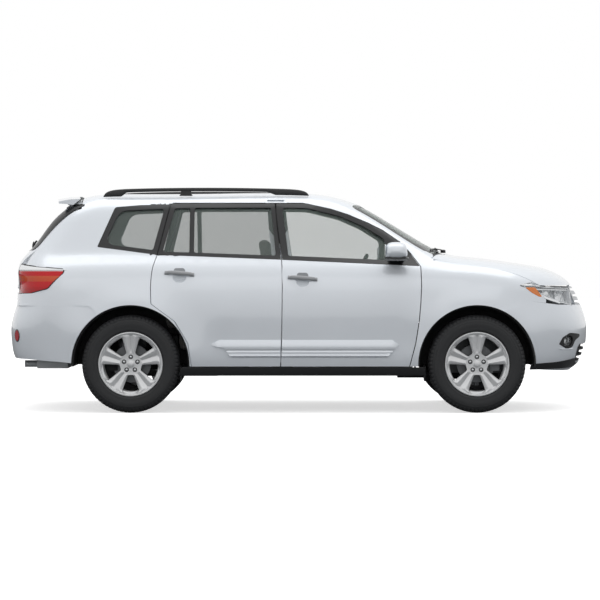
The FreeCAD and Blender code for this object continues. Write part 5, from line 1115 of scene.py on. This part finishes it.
# Roof rails
# One long rail of black coated metal on each side of the roof, arched over its length and bolted
# down at both ends, where it closes onto the skin, and at a foot in the middle.
RAIL_BACK, RAIL_FRONT, RAIL_Y, FOOT_X = -1612, 72, 530, -935
run = np.linspace(RAIL_BACK, RAIL_FRONT, 120)
low = on_skin("top", run, np.full(120, float(RAIL_Y)))[:, 2] + 2.6
share = (run - (RAIL_BACK + RAIL_FRONT) / 2) / ((RAIL_FRONT - RAIL_BACK) / 2)
crest = 1826 - 16 * share ** 2
close = np.sqrt(np.clip(1 - np.abs(share) ** 16, 0.02, 1))
top = low + np.maximum((crest - low) * close, 3)
foot = np.clip(np.maximum((-1425 - run) / 40, (run + 262) / 60), 0, 1)
under = low + (np.maximum(top - 30, low) - low) * (1 - foot)
rail_rings = []
for x, floor_z, roof_z in zip(run, under, top):
    rail_rings.append(crosswise(x, oval(34, roof_z - floor_z, 4, 24) + (RAIL_Y, (floor_z + roof_z) / 2)))
foot_low = float(np.interp(FOOT_X, run, low))
middle_foot = lofted([level(oval(long, 30, 5, 24) + (FOOT_X, RAIL_Y), z)
                      for long, z in ((112, foot_low + 1), (96, foot_low + 12), (84, 1796), (84, 1806))])
# Powder coat, baked: black and half glossy.
rail_black = surface("rail_black", "#232425", 0.42, cloud=0.2, grain=0.00006)
for rail in both_sides("roof_rail", merged(lofted(rail_rings), middle_foot), BODY, rail_black):
    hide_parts("roof_rails")


# Wipers
# Black steel arms with rubber blades, on round caps: two parked along the foot of the windscreen
# over a cowl of black plastic, one under the rear glass.
def wiper(view, arm, blade, lifts):
    """An arm and its blade through (a, b) places of a view, at two lifts off the glass."""
    made = []
    for points, lift, ring in ((arm, lifts[0], oval(16, 9, 3)), (blade, lifts[1], oval(9, 16, 3))):
        points = np.array(points, float)
        steps = np.linspace(0, len(points) - 1, 24)
        a, b = (np.interp(steps, range(len(points)), points[:, k]) for k in (0, 1))
        made.append(sweep(on_skin(view, a, b, lift), ring, (0, 0, 1) if view == "top" else (-1, 0, 0.3)))
    cap = on_skin(view, [arm[0][0]], [arm[0][1]], lifts[0] - 4)[0]
    turn = (90, 0, 0) if view == "top" else (0, 0, 90)
    made.append(moved(lathe([(0, 12), (14, 11), (21, 5), (22, -16), (0, -16)], 28), cap, turn))
    return merged(*made)


wipers = merged(wiper("top", [(1196, -90), (1158, -250), (1118, -420)],
                      [(1148, -120), (1118, -360), (1062, -610)], (18, 9)),
                wiper("top", [(1172, 470), (1164, 300), (1138, 120)],
                      [(1096, 430), (1136, 160), (1138, -60)], (18, 9)))
piece("windscreen_wipers", wipers, "root", rail_black)
piece("rear_wiper", wiper("rear", [(0, 1338), (-140, 1350), (-300, 1366)],
                          [(-120, 1346), (-280, 1360), (-440, 1384)], (22, 9)), "liftgate", rail_black)
dress(plain_black, "cowl")


# Lower trims
# Black unpainted plastic along the bottom edges, clipped on: the front valance, the sill covers,
# mud flaps at the wheel arches and the bezels round the fog lamps. Behind the lower intake stands
# a near-black sheet of painted shade.
VALANCE_LOW, SILL_TOP = 348, 0.374
valance = rounded(corner((1872, 884, VALANCE_LOW, 4), (1868, 886, 394, 6), (2090, 740, 406, 200),
                         (2240, 540, 430, 60), (2300, 400, 384, 10), (2300, 400, VALANCE_LOW, 4)), 20)
both_sides("front_valance", patch("front corner", valance, 2.8, 6, grid=25, edge=1.5), BODY, plain_black)
chin = trapezium((440, VALANCE_LOW, 4), (440, 384, 6), 30)
piece("front_chin", patch("front", chin, 2.8, 6, grid=25, edge=1.5), "root", plain_black)
intake = trapezium((590, 376, 10), (620, 572, 10), 30)
# A near-black sheet behind the slats: painted shade in the depth of the intake.
piece("intake_backing", patch("front", intake, -36, 4, grid=40), "root", black_and_recess_shade)
for side in SIDES:
    face_lining("side_frame_" + side, lambda places, ways, lows: places[:, 2] < SILL_TOP, plain_black)
sill_edge = rounded([(-978, 303, 4), (-950, 369, 4), (998, 369, 4), (1016, 303, 4)], 30)
flaps = [block((x, 800, 318), (8, 170, 130), 6, 2) for x in (1008, -966)]
sill = patch("side", sill_edge, 2.8, 8, grid=30, edge=2)
both_sides("sill_cover", merged(sill, *flaps), BODY, plain_black)
bezel = rounded([(772, 550, 10), (748, 606, 40), (690, 640, 40), (600, 634, 30), (528, 626, 14),
                 (524, 606, 14), (610, 578, 60), (640, 520, 30), (704, 508, 40)], 12)
both_sides("fog_bezel", patch("front", bezel, 3, 9, [ellipse(*FOG, 45, 45)], grid=25, edge=2), BODY,
           plain_black)


# Plate, garnish and fuel door
# A blank pressed plate in its holder on the tailgate, a chromed garnish over it, and the fuel
# door on the left.

# Enamelled sheet metal: off-white and half glossy.
blank = surface("blank_plate", "#DCDDDA", 0.45, cloud=0.3, grain=0.00004)
plate_edge = trapezium((152, 820, 14), (152, 972, 14), 20)
holder = kind(patch("rear", inset(plate_edge, -6), 3, 8, grid=30, edge=2), 1)
piece("rear_plate", merged(holder, patch("rear", plate_edge, 10, 4, grid=30, edge=1)), "liftgate", blank,
      plain_black)
garnish = trapezium((350, 996, 16), (330, 1034, 14), 20)
piece("tailgate_garnish", patch("rear", garnish, 12, 14, grid=20, edge=5), "liftgate", chrome)
fuel_edge = rounded([(-1650, 1010, 30), (-1480, 1010, 30), (-1480, 1180, 30), (-1650, 1180, 30)], 14)
piece("fuel_door", patch("side", fuel_edge, 2.8, 6, grid=20, edge=1.5), "root", paint)


# Roof side covers
# Small painted plastic covers, clipped over the joint between the roof's side and the middle post,
# above the doors.
post_cover = rounded([(-286, 1698, 4), (-106, 1698, 4), (-106, 1724, 6), (-286, 1724, 6)], 14)
both_sides("post_cover", patch("side", post_cover, 2.6, 4, grid=20, edge=1), BODY, paint)


# Underbody
# Engine and front knuckles of cast iron, the subframe and rear axle of steel under black underseal,
# and a welded exhaust of aluminised steel.

# Rolled steel with an aluminium coat: pale grey, a dull metal.
exhaust_steel = surface("aluminised_steel", "#BFC1C3", 0.45, metallic=0.5, cloud=0.3, grain=0.00005)
dress(exhaust_steel, "exhaust")
dress(cast_iron, "engine_block", "front_knuckle_left", "front_knuckle_right")
dress(underseal, "rear_axle", "front_subframe")


# Floor, light and camera
# A pale studio floor that keeps the shadow, a white surround, two softboxes and the camera
# far out on the right side, as the photograph was taken.
FLOOR = 60
floor_mesh = bpy.data.meshes.new("studio_floor")
floor_mesh.from_pydata([(x * FLOOR, y * FLOOR, 0) for x, y in ((-1, -1), (1, -1), (1, 1), (-1, 1))], [],
                       [(0, 1, 2, 3)])
studio_floor = bpy.data.objects.new("studio_floor", floor_mesh)
bpy.context.scene.collection.objects.link(studio_floor)
# Matt studio paint: an even pale ground.
floor_paint = surface("pale_floor", "#E8E8E8", 0.8, cloud=2.0, shift=0.004)
floor_tree = floor_paint.node_tree
floor_shader = floor_tree.nodes["Principled BSDF"]
rays = add_node(floor_tree, "ShaderNodeLightPath")
seen = add_node(floor_tree, "ShaderNodeMath", {1: 0.6}, {0: rays.outputs["Is Camera Ray"]},
                operation="MULTIPLY")
pale = floor_shader.inputs["Base Color"].links[0].from_socket
mirrored = add_node(floor_tree, "ShaderNodeMix", {6: linear("#66696C")},
                    {0: rays.outputs["Is Camera Ray"], 7: pale}, data_type="RGBA")
floor_tree.links.new(mirrored.outputs[2], floor_shader.inputs["Base Color"])
floor_shader.inputs["Emission Color"].default_value = (1, 1, 1, 1)
floor_tree.links.new(seen.outputs[0], floor_shader.inputs["Emission Strength"])
floor_mesh.materials.append(floor_paint)

world = bpy.data.worlds.new("studio")
bpy.context.scene.world = world
world.use_nodes = True
sky = world.node_tree.nodes["Background"]
rays = add_node(world.node_tree, "ShaderNodeLightPath")
bright = add_node(world.node_tree, "ShaderNodeMapRange", {"To Min": 0.9, "To Max": 1.0},
                  {"Value": rays.outputs["Is Camera Ray"]})
sky.inputs["Color"].default_value = (1, 1, 1, 1)
world.node_tree.links.new(bright.outputs["Result"], sky.inputs["Strength"])


def softbox(name, place, target, width, height, power):
    """A rectangular lamp, measured in metres and watts, that looks at a target."""
    data = bpy.data.lights.new(name, "AREA")
    data.energy = power
    data.shape = "RECTANGLE"
    data.size, data.size_y = width, height
    made = bpy.data.objects.new(name, data)
    made.location = place
    made.rotation_euler = (Vector(target) - Vector(place)).to_track_quat("-Z", "Y").to_euler()
    bpy.context.scene.collection.objects.link(made)


softbox("overhead_softbox", (0, -0.5, 6.0), (0, 0, 0), 8, 4, 120)
softbox("side_softbox", (0.5, -11, 5.0), (0, 0, 0.9), 9, 3, 40)

SENSOR, FOCAL_PIXELS, PICTURE_PIXELS = 36.0, 2372, 600
view = bpy.data.cameras.new("camera")
view.sensor_width = SENSOR
view.lens = SENSOR * FOCAL_PIXELS / PICTURE_PIXELS
view.shift_y = -0.06
camera = bpy.data.objects.new("camera", view)
camera.location = (0, -20, 1.2)
camera.rotation_euler = (math.pi / 2, 0, 0)
bpy.context.scene.collection.objects.link(camera)
bpy.context.scene.camera = camera
bpy.context.scene.view_settings.view_transform = "Standard"
